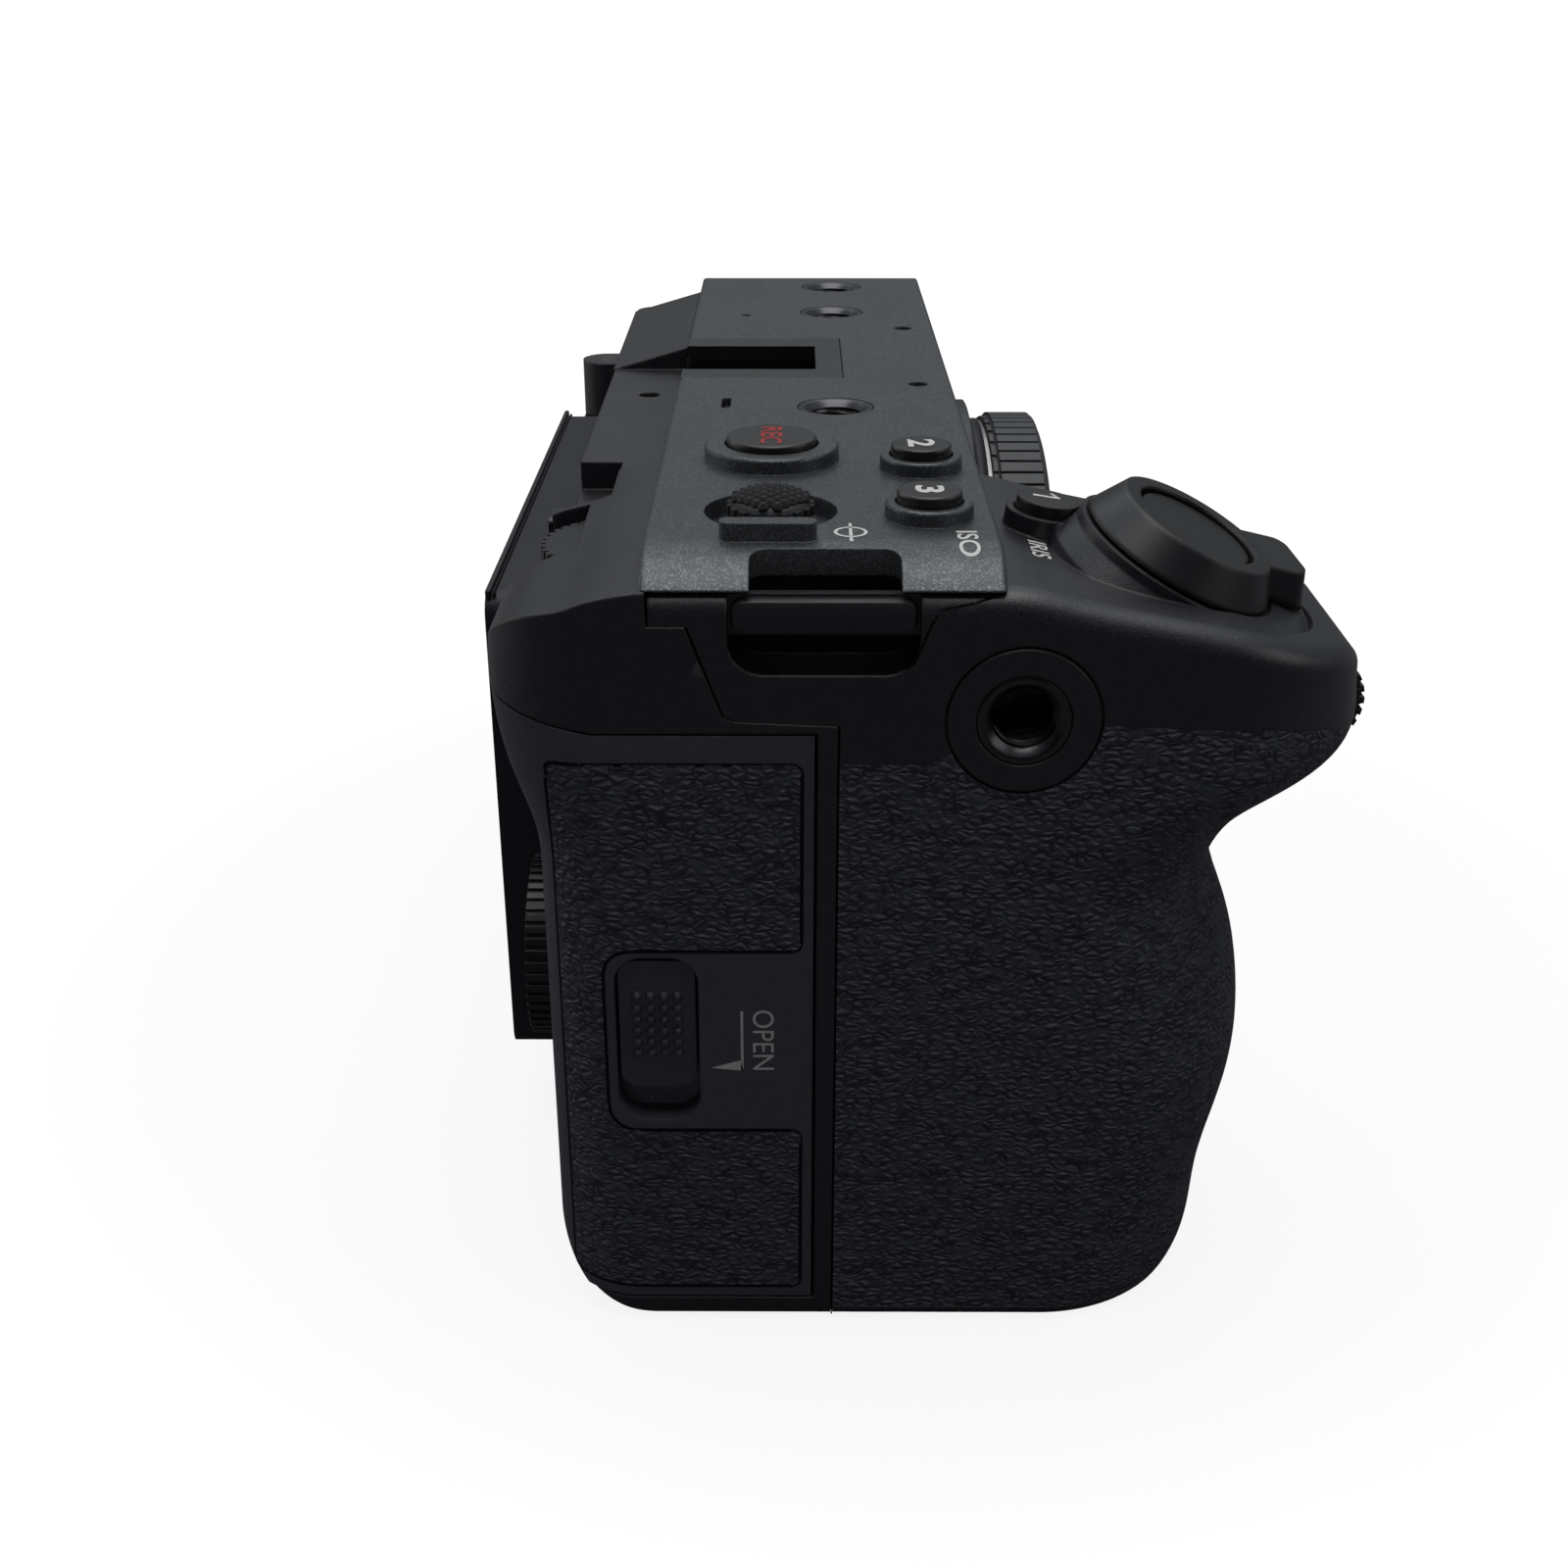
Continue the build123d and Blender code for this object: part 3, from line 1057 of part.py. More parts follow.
with BuildPart() as card_door:
    add(column)
    add(column_core, mode=Mode.SUBTRACT)
    prism("X", door_outline(0), near_x, mode=Mode.INTERSECT)
    slab(
        "X", latch_recess_at, (latch_recess_w + 2 * latch_pan_wall, latch_recess_h + 2 * latch_pan_wall),
        latch_pan_r + latch_pan_wall - 0.1, (grip_x + 1, grip_x + latch_pan_depth + latch_pan_wall),
    )
    slab(
        "X", latch_recess_at, (latch_recess_w, latch_recess_h), latch_pan_r,
        (grip_x - 1, grip_x + latch_pan_depth), mode=Mode.SUBTRACT,
    )
    block(
        (grip_x, grip_x + 6), (latch_centre[0] - 1.1, latch_centre[0] + 1.1),
        (latch_centre[1] - 2.3 - latch_travel, latch_centre[1] + 2.3), mode=Mode.SUBTRACT,
    )
    add(card_leather.part, mode=Mode.SUBTRACT)
    rod("Z", door_pin, pin_play_r, (door_low_z - 1, door_pin_low[1] + 0.2), mode=Mode.SUBTRACT)
    rod("Z", door_pin, pin_play_r, (door_pin_high[0] - 0.2, door_top_z + 1), mode=Mode.SUBTRACT)
    block(
        (grip_x + door_skim, door_end_x), (door_y - 1, rear_y + far), (0, top_z), mode=Mode.INTERSECT,
    )
save(card_door, "card_door")
bump_pitch = (
    (bump_zone[0][1] - bump_zone[0][0] - 2 * bump_r) / (bump_columns - 1),
    (bump_zone[1][1] - bump_zone[1][0] - 2 * bump_r) / (bump_rows - 1),
)
with BuildPart() as card_latch:
    slab("X", latch_centre, latch_size, 1.6, (grip_x + 0.5, grip_x + latch_pan_depth - 0.3))
    with Locations(Location((grip_x + 0.5, *latch_centre), (0, -90, 0))):
        with GridLocations(bump_pitch[1], bump_pitch[0], bump_rows, bump_columns):
            Cone(bump_r, bump_top_r, bump_up, align=(Align.CENTER, Align.CENTER, Align.MIN))
    block(
        (grip_x + latch_pan_depth - 0.4, grip_x + latch_pan_depth + latch_pan_wall + 0.6),
        (latch_centre[0] - 0.8, latch_centre[0] + 0.8), (latch_centre[1] - 2.0, latch_centre[1] + 2.0),
    )
    block(
        (grip_x + latch_pan_depth + latch_pan_wall + 0.3, grip_x + latch_pan_depth + latch_pan_wall + 1.2),
        (latch_centre[0] - 2.4, latch_centre[0] + 2.4), (latch_centre[1] - 1.8, latch_centre[1] + 1.8),
    )
save(card_latch, "card_latch")

# Card slots behind the door
with BuildPart() as card_slots:
    block(*card_block)
    for y in (card_block[1][0] + 2.8, card_block[1][1] - 2.8):
        block(
            (card_block[0][0] - 1, card_block[0][0] + card_slot_depth),
            (y - card_slot_t / 2, y + card_slot_t / 2),
            (30.5 - card_slot_h / 2, 30.5 + card_slot_h / 2), mode=Mode.SUBTRACT,
        )
save(card_slots, "card_slots")

# Battery with its door and latch
with BuildPart() as battery:
    slab(
        "Z", ((battery_x[0] + battery_x[1]) / 2, (battery_y[0] + battery_y[1]) / 2),
        (battery_x[1] - battery_x[0], battery_y[1] - battery_y[0]), 2.5, battery_z,
    )
save(battery, "battery_pack")
battery_latch_at = (battery_door_x[0] + 6.0, (battery_door_y[0] + battery_door_y[1]) / 2)
with BuildPart() as battery_door:
    block((battery_door_x[0], battery_hinge[0]), battery_door_y, (0, wall))
    rod("Y", battery_hinge, wall / 2, battery_door_y)
    block(
        (battery_latch_at[0] - 2.6, battery_latch_at[0] + 2.6 + battery_latch_travel),
        (battery_latch_at[1] - 4.2, battery_latch_at[1] + 4.2), (-1, wall + 1), mode=Mode.SUBTRACT,
    )
    rod(
        "Y", battery_hinge, pin_play_r, (battery_door_y[0] - 1, battery_pin_front[1] + seam), mode=Mode.SUBTRACT,
    )
    rod(
        "Y", battery_hinge, pin_play_r, (battery_pin_rear[0] - seam, battery_door_y[1] + 1), mode=Mode.SUBTRACT,
    )
save(battery_door, "battery_door")
with BuildPart() as battery_latch:
    slab("Z", battery_latch_at, (4.8, 8.0), 0.8, (0.3, wall + 0.2))
    block(
        (battery_latch_at[0] - 2.4, battery_latch_at[0] + 2.4),
        (battery_latch_at[1] - 5.4, battery_latch_at[1] + 5.4),
        (wall + 0.2, wall + 1.0),
    )
    for step in range(3):
        y = battery_latch_at[1] + (step - 1) * 1.8
        block((battery_latch_at[0] - 1.8, battery_latch_at[0] + 1.8), (y - 0.3, y + 0.3), (0.1, 0.3))
save(battery_latch, "battery_latch")
with BuildPart() as battery_catch:
    block(catch_x, (battery_y[1] - 1.0, chamber_y[1] - 0.2), (catch_z[0], catch_z[0] + 0.9))
    block(catch_x, (battery_y[1] + 0.5, chamber_y[1] - 0.2), catch_z)
save(battery_catch, "battery_catch")


# Port covers on the left wall, hinged on half-round front edges
def port_cover(z):
    thickness = (port_hinge_x - wall / 2, port_hinge_x + wall / 2)
    low, high = z[0] + 0.2, z[1] - 0.2
    block(thickness, (port_hinge_y, port_y[1] - 0.2), (low, high))
    rod("Z", (port_hinge_x, port_hinge_y), wall / 2, (low, high))
    rod("Z", (port_hinge_x, port_hinge_y), pin_play_r, (low - 1, low + 1.8), mode=Mode.SUBTRACT)
    rod("Z", (port_hinge_x, port_hinge_y), pin_play_r, (high - 1.8, high + 1), mode=Mode.SUBTRACT)


with BuildPart() as audio_cover:
    port_cover(audio_z)
save(audio_cover, "audio_cover")
with BuildPart() as data_cover:
    port_cover(data_z)
save(data_cover, "data_cover")
socket_x = (left_x - wall - 6.0, left_x - wall - 0.4)
with BuildPart() as sockets:
    block(socket_x, (port_y[0] + 3.0, port_y[1] - 1.6), (data_z[0] + 1.0, audio_z[1] - 1.0))
    for z in (35.6, 44.2):
        rod("X", (6.0, z), 1.8, (socket_x[0] - 1, socket_x[1] + 1), mode=Mode.SUBTRACT)
    slab("X", (14.5, 40.0), (5.6, 15.0), 0.6, (socket_x[0] + 1, socket_x[1] + 1), mode=Mode.SUBTRACT)
    slab("X", (6.2, 18.8), (3.3, 9.2), 1.5, (socket_x[0] + 1, socket_x[1] + 1), mode=Mode.SUBTRACT)
    slab("X", (14.5, 18.8), (4.6, 14.2), 0.8, (socket_x[0] + 1, socket_x[1] + 1), mode=Mode.SUBTRACT)
save(sockets, "port_sockets")

# Lens mount: ring, claws, screws, contacts, lock pin and release button
claw_arc = 46.0
claw_in = 1.75
with BuildPart() as mount_ring:
    rod("Y", (0, axis_z), mount_r, (flange_y, surround_y))
    rod("Y", (0, axis_z), throat_r + 0.5, (surround_y, front_y + wall))
    rod("Y", (0, axis_z), throat_r, (flange_y - 1, front_y + wall + 1), mode=Mode.SUBTRACT)
    with BuildSketch(face_plane("Y", flange_y + 0.7)) as claws:
        with Locations((0, axis_z)):
            Circle(throat_r + 0.1)
            Circle(throat_r - claw_in, mode=Mode.SUBTRACT)
            with PolarLocations(0, 3, start_angle=60):
                gap = tan(radians(60 - claw_arc / 2)) * 60
                Polygon((0, 0), (60, gap), (60, -gap), align=None, mode=Mode.SUBTRACT)
    extrude(amount=1.3, dir=PUSH["Y"])
    with Locations(Location((0, flange_y, axis_z), (90, 0, 0))):
        with PolarLocations(pin_ring_r, 4, start_angle=45):
            CounterSinkHole(0.9, 1.8, depth=mount_t)
    rod("Y", pin_at, pin_r + 0.1, (flange_y - 1, front_y + wall + 1), mode=Mode.SUBTRACT)
save(mount_ring, "mount_ring")
with BuildPart() as mount_screws:
    with Locations(Location((0, flange_y + 0.05, axis_z), (90, 0, 0))):
        with PolarLocations(pin_ring_r, 4, start_angle=45):
            Cone(0.85, 1.7, 0.85, align=(Align.CENTER, Align.CENTER, Align.MAX))
            Cylinder(0.85, mount_t - 0.1, align=(Align.CENTER, Align.CENTER, Align.MAX))
            Cylinder(0.5, 0.45, align=(Align.CENTER, Align.CENTER, Align.MAX), mode=Mode.SUBTRACT)
save(mount_screws, "mount_screws")
lens_contact_y = -9.4
contact_pins = 10
with BuildPart() as lens_contacts:
    block((-7.6, 7.6), (lens_contact_y, plate_back_y), (axis_z - 21.3, axis_z - 18.6))
    for step in range(contact_pins):
        rod(
            "Y", ((step - (contact_pins - 1) / 2) * 1.45, axis_z - 19.8), 0.45,
            (lens_contact_y - 0.7, lens_contact_y),
        )
save(lens_contacts, "lens_contacts")
with BuildPart() as lens_lock_pin:
    rod("Y", pin_at, pin_r, (flange_y - 1.2, front_y + wall + 0.6))
save(lens_lock_pin, "lens_lock_pin")
with BuildPart() as release_button:
    rod("Y", release_at, release_r, (front_y - 3.0, front_y - 1.3))
    fillet(release_button.edges().filter_by(GeomType.CIRCLE).sort_by(Axis.Y)[0], 0.6)
    rod("Y", release_at, release_stem_r, (front_y - 1.3, front_y + wall + 0.4))
    rod("Y", release_at, release_stem_r + 1.2, (front_y + wall + 0.3, front_y + wall + 1.1))
save(release_button, "lens_release_button")
cap_ribs = 60
cap_y = (flange_y - 6.4, flange_y - 0.1)
cap_r = 31.0
with BuildPart() as body_cap:
    rod("Y", (0, axis_z), cap_r, cap_y)
    fillet(body_cap.edges().filter_by(GeomType.CIRCLE).sort_by(Axis.Y)[0], 1.0)
    rod("Y", (0, axis_z), cap_r - 1.8, (cap_y[0] + 1.6, cap_y[1] + 1), mode=Mode.SUBTRACT)
    rod("Y", (0, axis_z), 20.6, (cap_y[0] + 1.0, flange_y + 2.6))
    rod("Y", (0, axis_z), 19.4, (cap_y[0] + 1.6, flange_y + 4), mode=Mode.SUBTRACT)
    with Locations(Location((0, cap_y[0] + 1.4, axis_z), (-90, 0, 0))):
        with PolarLocations(cap_r + 0.25, cap_ribs):
            Box(
                1.0, 1.1, cap_y[1] - cap_y[0], align=(Align.CENTER, Align.CENTER, Align.MIN), mode=Mode.SUBTRACT,
            )
save(body_cap, "body_cap")
with BuildPart() as lamp:
    rod("Y", lamp_at, lamp_r, (front_y - 0.5, front_y + wall))
    fillet(lamp.edges().filter_by(GeomType.CIRCLE).sort_by(Axis.Y)[0], 0.3)
save(lamp, "tally_lamp")

# Sensor on two crossed carriers
carrier_y = (base_front_y - 0.4 - carrier_t, base_front_y - 0.4)
sensor_back_y = carrier_y[0] - 0.4
with BuildPart() as shift_base:
    block(
        (-post_x - 2.4, post_x + 2.4), (base_front_y, base_front_y + 1.8), (post_z[0] - 2.4, post_z[1] + 2.4),
    )
    block((-11, 11), (base_front_y - 1, base_front_y + 3), (axis_z - 8, axis_z + 8), mode=Mode.SUBTRACT)
save(shift_base, "shift_base")
with BuildPart() as shift_frame:
    block((-25.0, 25.0), carrier_y, (axis_z - 19.5, axis_z + 19.5))
    block((-11, 11), (carrier_y[0] - 1, carrier_y[1] + 1), (axis_z - 8, axis_z + 8), mode=Mode.SUBTRACT)
save(shift_frame, "shift_frame")
with BuildPart() as sensor_unit:
    block(
        (-sensor_size[0] / 2, sensor_size[0] / 2), (sensor_y, sensor_back_y),
        (axis_z - sensor_size[1] / 2, axis_z + sensor_size[1] / 2),
    )
    block((-20.4, 20.4), (sensor_y - 1.6, sensor_y), (axis_z - 14.4, axis_z + 14.4))
    block((-18.4, 18.4), (sensor_y - 2, sensor_y), (axis_z - 12.4, axis_z + 12.4), mode=Mode.SUBTRACT)
save(sensor_unit, "sensor_unit")
with BuildPart() as sensor_filter:
    block((-19.4, 19.4), (sensor_y - 2.6, sensor_y - 1.6), (axis_z - 13.4, axis_z + 13.4))
save(sensor_filter, "sensor_filter")

# Electronics and cooling
with BuildPart() as heat_sink:
    block((-30.0, 8.0), (fan_y[0], fan_y[0] + 1.4), (20.0, 64.0))
    for step in range(9):
        x = -28.6 + step * 4.4
        block((x, x + 1.2), (fan_y[0] + 1.4, fan_y[1]), (22.0, 62.0))
    for x in (-20.0, 0.0):
        rod("Y", (x, axis_z), 2.2, (base_front_y + 1.8, fan_y[0]))
save(heat_sink, "heat_sink")
with BuildPart() as fan_housing:
    slab("Y", fan_centre, (fan_size, fan_size), 3.0, fan_y)
    rod("Y", fan_centre, rotor_r + 0.6, (fan_y[0] - 1, fan_y[1] - 1.0), mode=Mode.SUBTRACT)
    rod("Y", fan_centre, axle_r + axle_play, (fan_y[1] - 2, fan_y[1] + 1), mode=Mode.SUBTRACT)
    block((8.0, fan_centre[0] - fan_size / 2), (fan_y[0], fan_y[0] + 1.4), (36.0, 56.0))
save(fan_housing, "fan_housing")
blades = 7
with BuildPart() as fan_rotor:
    rod("Y", fan_centre, 5.6, (fan_y[0] + 0.6, fan_y[1] - 1.4))
    rod("Y", fan_centre, axle_r, (fan_y[1] - 1.4, fan_y[1]))
    with Locations(Location((fan_centre[0], fan_y[0] + 0.8, fan_centre[1]), (-90, 0, 0))):
        with PolarLocations((rotor_r + 5.0) / 2, blades):
            Box(rotor_r - 5.0, 0.8, fan_y[1] - fan_y[0] - 2.4, align=(Align.CENTER, Align.CENTER, Align.MIN))
save(fan_rotor, "fan_rotor")
with BuildPart() as board:
    block((-34.0, 46.0), board_y, (6.0, 67.0))
    block((-24.0, -8.0), (fan_y[1], board_y[0]), (34.0, 50.0))
    for x, z, w, h in ((-18.0, 20.0, 12.0, 9.0), (22.0, 16.0, 14.0, 10.0), (34.0, 58.0, 8.0, 6.0)):
        block((x - w / 2, x + w / 2), (board_y[1], board_y[1] + 0.9), (z - h / 2, z + h / 2))
save(board, "main_board")

# Swing-out monitor on a vertical hinge at the left end
monitor_mid_x = (monitor_x[0] + monitor_x[1]) / 2
monitor_mid_z = (monitor_z[0] + monitor_z[1]) / 2
with BuildPart() as monitor_housing:
    slab(
        "Y", (monitor_mid_x, monitor_mid_z), (monitor_x[1] - monitor_x[0], monitor_z[1] - monitor_z[0]), 2.4,
        monitor_y,
    )
    fillet(monitor_housing.faces().sort_by(Axis.Y)[0].edges(), 0.8)
    slab(
        "Y", (monitor_mid_x, monitor_mid_z),
        (monitor_x[1] - monitor_x[0] - 3.6, monitor_z[1] - monitor_z[0] - 3.6), 1.4,
        (monitor_y[1] - 1.0, monitor_y[1] + 1), mode=Mode.SUBTRACT,
    )
    rod(
        "X", ((monitor_y[0] + monitor_y[1]) / 2, monitor_mid_z), 3.0, (monitor_x[1] - 2.0, monitor_x[1] + 1),
        mode=Mode.SUBTRACT,
    )
save(monitor_housing, "monitor_housing")
with BuildPart() as monitor_glass:
    slab(
        "Y", (monitor_mid_x, monitor_mid_z),
        (monitor_x[1] - monitor_x[0] - 3.8, monitor_z[1] - monitor_z[0] - 3.8), 1.3,
        (monitor_y[1] - 1.0, monitor_y[1] - 0.2),
    )
save(monitor_glass, "monitor_glass")
arm_y = (hinge_at[1] - hinge_r, hinge_at[1] + hinge_r)
with BuildPart() as monitor_arm:
    block((monitor_x[1] + 0.4, hinge_at[0]), arm_y, arm_z)
    rod("Z", hinge_at, hinge_r, arm_z)
    rod(
        "X", ((monitor_y[0] + monitor_y[1]) / 2, monitor_mid_z), 2.9, (monitor_x[1] - 2.0, monitor_x[1] + 0.5),
    )
    rod("Z", hinge_at, 1.3, (0, top_z), mode=Mode.SUBTRACT)
save(monitor_arm, "monitor_arm")
lug_z = ((arm_z[0] - 0.3 - lug_t, arm_z[0] - 0.3), (arm_z[1] + 0.3, arm_z[1] + 0.3 + lug_t))
with BuildPart() as hinge_bracket:
    block((hinge_at[0] - hinge_r, left_x - left_rear_r), (rear_y, rear_y + 0.7), (lug_z[0][0], lug_z[1][1]))
    for span in lug_z:
        block((hinge_at[0] - hinge_r, hinge_at[0] + hinge_r), (rear_y, hinge_at[1]), span)
        rod("Z", hinge_at, hinge_r, span)
    rod("Z", hinge_at, 1.2, (0, top_z), mode=Mode.SUBTRACT)
save(hinge_bracket, "monitor_hinge_bracket")
with BuildPart() as hinge_pins:
    rod("Z", hinge_at, 1.2, (lug_z[0][0], lug_z[1][1]))
    rod("Z", door_pin, hinge_pin_r, door_pin_low)
    rod("Z", door_pin, hinge_pin_r, door_pin_high)
    for span in (battery_pin_front, battery_pin_rear):
        rod("Y", battery_hinge, hinge_pin_r, span)
    for span in port_pins:
        rod("Z", (port_hinge_x, port_hinge_y), hinge_pin_r, span)
save(hinge_pins, "hinge_pins")
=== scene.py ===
"""Finishes and fine pieces of the compact cinema camera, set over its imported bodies."""

import math

import bmesh
import bpy
from mathutils import Matrix, Vector
from mathutils.bvhtree import BVHTree


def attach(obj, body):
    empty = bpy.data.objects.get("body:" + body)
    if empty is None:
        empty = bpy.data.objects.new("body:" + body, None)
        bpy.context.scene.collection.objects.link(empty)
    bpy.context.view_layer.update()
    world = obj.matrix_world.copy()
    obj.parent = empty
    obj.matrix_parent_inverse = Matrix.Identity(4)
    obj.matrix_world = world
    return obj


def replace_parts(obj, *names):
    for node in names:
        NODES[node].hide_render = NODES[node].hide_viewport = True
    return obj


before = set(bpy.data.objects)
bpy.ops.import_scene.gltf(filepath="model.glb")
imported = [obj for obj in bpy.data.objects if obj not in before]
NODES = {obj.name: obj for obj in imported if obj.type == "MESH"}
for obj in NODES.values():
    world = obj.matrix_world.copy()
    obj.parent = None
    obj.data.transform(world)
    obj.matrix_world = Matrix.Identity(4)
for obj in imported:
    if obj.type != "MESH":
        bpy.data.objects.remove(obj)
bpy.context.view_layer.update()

# Sizes are in mm, and MM turns them into metres
MM = 0.001
GRIP_X = -77.0              # outer face of the grip
LEFT_X = 51.7               # left wall
TOP_Z = 77.8                # face of the top plate
AXIS_Z = 38.9               # lens axis
SEAM_Y = 6.0                # seam between the grip cover and the rear cover

# Directions, named as seen from behind the camera
TO_RIGHT, TO_LEFT = (-1, 0, 0), (1, 0, 0)
AHEAD, TO_BACK = (0, -1, 0), (0, 1, 0)
UP, DOWN = (0, 0, 1), (0, 0, -1)


def mm(x, y, z):
    """A point of the row frame given in millimetres."""
    return Vector((x, y, z)) * MM


def add_object(name, data):
    """A new object in the scene."""
    obj = bpy.data.objects.new(name, data)
    bpy.context.scene.collection.objects.link(obj)
    return obj


# Small helpers for node trees


class Graph:
    """Adds nodes to a tree and links them by socket name or number."""

    PER_ROW, WIDTH, HEIGHT = 8, 180, 220    # how the nodes lie in the editor

    def __init__(self, tree):
        self.tree = tree
        self.count = 0

    def add(self, kind, inputs=None, **settings):
        node = self.tree.nodes.new(kind)
        row, column = divmod(self.count, self.PER_ROW)
        node.location = (self.WIDTH * column, -self.HEIGHT * row)
        self.count += 1
        for key, value in settings.items():
            setattr(node, key, value)
        for key, value in (inputs or {}).items():
            self.feed(node, key, value)
        return node

    def feed(self, node, key, value):
        socket = node.inputs[key]
        if isinstance(value, bpy.types.NodeSocket):
            self.tree.links.new(value, socket)
        else:
            socket.default_value = value

    def where(self):
        """Place on the piece, in metres."""
        return self.add("ShaderNodeTexCoord").outputs["Object"]

    def math(self, operation, first, second):
        return self.add("ShaderNodeMath", {0: first, 1: second}, operation=operation).outputs[0]

    def vector(self, operation, first, second):
        return self.add("ShaderNodeVectorMath", {0: first, 1: second}, operation=operation).outputs[0]

    def length(self, vector):
        return self.add("ShaderNodeVectorMath", {0: vector}, operation="LENGTH").outputs["Value"]

    def smooth(self, value, low, high, to_low=0.0, to_high=1.0):
        limits = {0: value, 1: low, 2: high, 3: to_low, 4: to_high}
        return self.add("ShaderNodeMapRange", limits, interpolation_type="SMOOTHSTEP").outputs[0]

    def mix(self, share, first, second):
        return self.add("ShaderNodeMix", {0: share, 6: first, 7: second}, data_type="RGBA").outputs[2]

    def noise(self, where, scale, detail=2.0, roughness=0.5):
        return self.add(
            "ShaderNodeTexNoise", {"Vector": where, "Scale": scale, "Detail": detail, "Roughness": roughness}
        ).outputs

    def cells(self, where, scale, feature="F1"):
        return self.add("ShaderNodeTexVoronoi", {"Vector": where, "Scale": scale}, feature=feature).outputs

    def soft_edges(self, radius):
        """The normal, with edges rounded by a radius in mm."""
        return self.add("ShaderNodeBevel", {"Radius": radius * MM}, samples=4).outputs[0]

    def relief(self, height, depth, normal, strength=1.0):
        """The normal of a relief with a depth in mm, over another normal if there is one."""
        bump = self.add("ShaderNodeBump", {"Strength": strength, "Distance": depth * MM, "Height": height})
        if normal:
            self.feed(bump, "Normal", normal)
        return bump.outputs[0]


def shader_group(name, inputs, outputs):
    """An empty node group with named value inputs and outputs."""
    group = bpy.data.node_groups.new(name, "ShaderNodeTree")
    for label, value in inputs:
        socket = group.interface.new_socket(label, in_out="INPUT", socket_type="NodeSocketFloat")
        socket.default_value = value
    for label in outputs:
        group.interface.new_socket(label, in_out="OUTPUT", socket_type="NodeSocketFloat")
    graph = Graph(group)
    return group, graph, graph.add("NodeGroupInput").outputs, graph.add("NodeGroupOutput")


def leather_group():
    """Pebbled leather: long soft pebbles, with creases between them that carry painted shade."""
    group, g, given, result = shader_group(
        "leather pebbles", [("Pebbles per metre", 930.0), ("Stretch", 1.7)], ["Height", "Painted crease shade"]
    )
    where = g.where()
    push = g.vector("SUBTRACT", g.noise(where, 520.0)["Color"], (0.5, 0.5, 0.5))
    push = g.vector("MULTIPLY", push, (0.0012, 0.0012, 0.0012))
    moved = g.add("ShaderNodeSeparateXYZ", {0: g.vector("ADD", where, push)}).outputs
    upright = g.math("MULTIPLY", moved[2], given["Stretch"])
    spread = g.add("ShaderNodeCombineXYZ", {0: moved[0], 1: moved[1], 2: upright}).outputs[0]
    spread = g.vector("MULTIPLY", spread, (1.0, 0.85, 1.0))
    large = g.cells(spread, given["Pebbles per metre"], "DISTANCE_TO_EDGE")["Distance"]
    fine_rate = g.math("MULTIPLY", given["Pebbles per metre"], 3.1)
    fine = g.cells(spread, fine_rate, "DISTANCE_TO_EDGE")["Distance"]
    swell = g.noise(spread, 430.0)["Fac"]
    pebble = g.math("MULTIPLY", g.smooth(large, 0.0, 0.6), 0.6)
    seed = g.math("MULTIPLY", g.smooth(fine, 0.0, 0.35), 0.02)
    height = g.math("ADD", g.math("ADD", pebble, seed), g.math("MULTIPLY", swell, 0.7))
    g.feed(result, "Height", height)
    # Painted shade along the pebbles' edges, fainter where the swell is high
    crease_shade_strength = g.smooth(swell, 0.38, 0.6, 1.0, 0.3)
    g.feed(result, "Painted crease shade", g.math("MULTIPLY", g.smooth(large, 0.02, 0.2, 1.0, 0.0), crease_shade_strength))
    return group


def grain_group():
    """The fine even texture of moulded or powder-coated surfaces."""
    group, g, given, result = shader_group("fine grain", [("Grains per metre", 5200.0)], ["Height", "Mottle"])
    where = g.where()
    grains = g.cells(where, given["Grains per metre"], "SMOOTH_F1")["Distance"]
    g.feed(result, "Height", g.math("SUBTRACT", 1.0, grains))
    g.feed(result, "Mottle", g.noise(where, 900.0, detail=3.0)["Fac"])
    return group


def flake_and_glint_group():
    """Metal flakes in a coating: some get a painted glint, a colour brighter whatever the light, and each
    lies at its own tilt.
    """
    group, g, given, result = shader_group(
        "metal flakes with painted glints", [("Flakes per metre", 6500.0)], ["Painted glint", "Height"]
    )
    flakes = g.cells(g.where(), given["Flakes per metre"])
    parts = g.add("ShaderNodeSeparateColor", {0: flakes["Color"]}).outputs
    core = g.smooth(flakes["Distance"], 0.3, 0.75, 1.0, 0.2)
    # Painted glint: flakes picked at random by their cell colour, brightest at their cores
    g.feed(result, "Painted glint", g.math("MULTIPLY", g.smooth(parts[0], 0.45, 1.0), core))
    g.feed(result, "Height", parts[1])
    return group


def handling_group():
    """Traces of use: wide smears from fingers and a few specks of dust."""
    group, g, given, result = shader_group("handling", [("Dust", 0.5)], ["Smear", "Dust"])
    where = g.where()
    wide = g.noise(where, 95.0, detail=4.0, roughness=0.6)["Fac"]
    specks = g.cells(where, 620.0)
    chance = g.add("ShaderNodeSeparateColor", {0: specks["Color"]}).outputs[0]
    dot = g.smooth(specks["Distance"], 0.05, 0.1, 1.0, 0.0)
    rare = g.math("GREATER_THAN", chance, 0.965)
    g.feed(result, "Smear", g.smooth(wide, 0.35, 0.7))
    g.feed(result, "Dust", g.math("MULTIPLY", g.math("MULTIPLY", dot, rare), given["Dust"]))
    return group


LEATHER = leather_group()
GRAIN = grain_group()
FLAKES_AND_GLINTS = flake_and_glint_group()
HANDLING = handling_group()
DUST_COLOUR = (0.22, 0.22, 0.21, 1.0)


def bare_material(name):
    """A material without a shader, the graph of its nodes, and its output node."""
    material = bpy.data.materials.new(name)
    material.use_nodes = True
    material.node_tree.nodes.clear()
    graph = Graph(material.node_tree)
    return material, graph, graph.add("ShaderNodeOutputMaterial")


def tinted(colour, share=1.0, more=0.0):
    """A colour made darker or lighter, with its alpha."""
    return (*(min(1.0, part * share + more) for part in colour), 1.0)


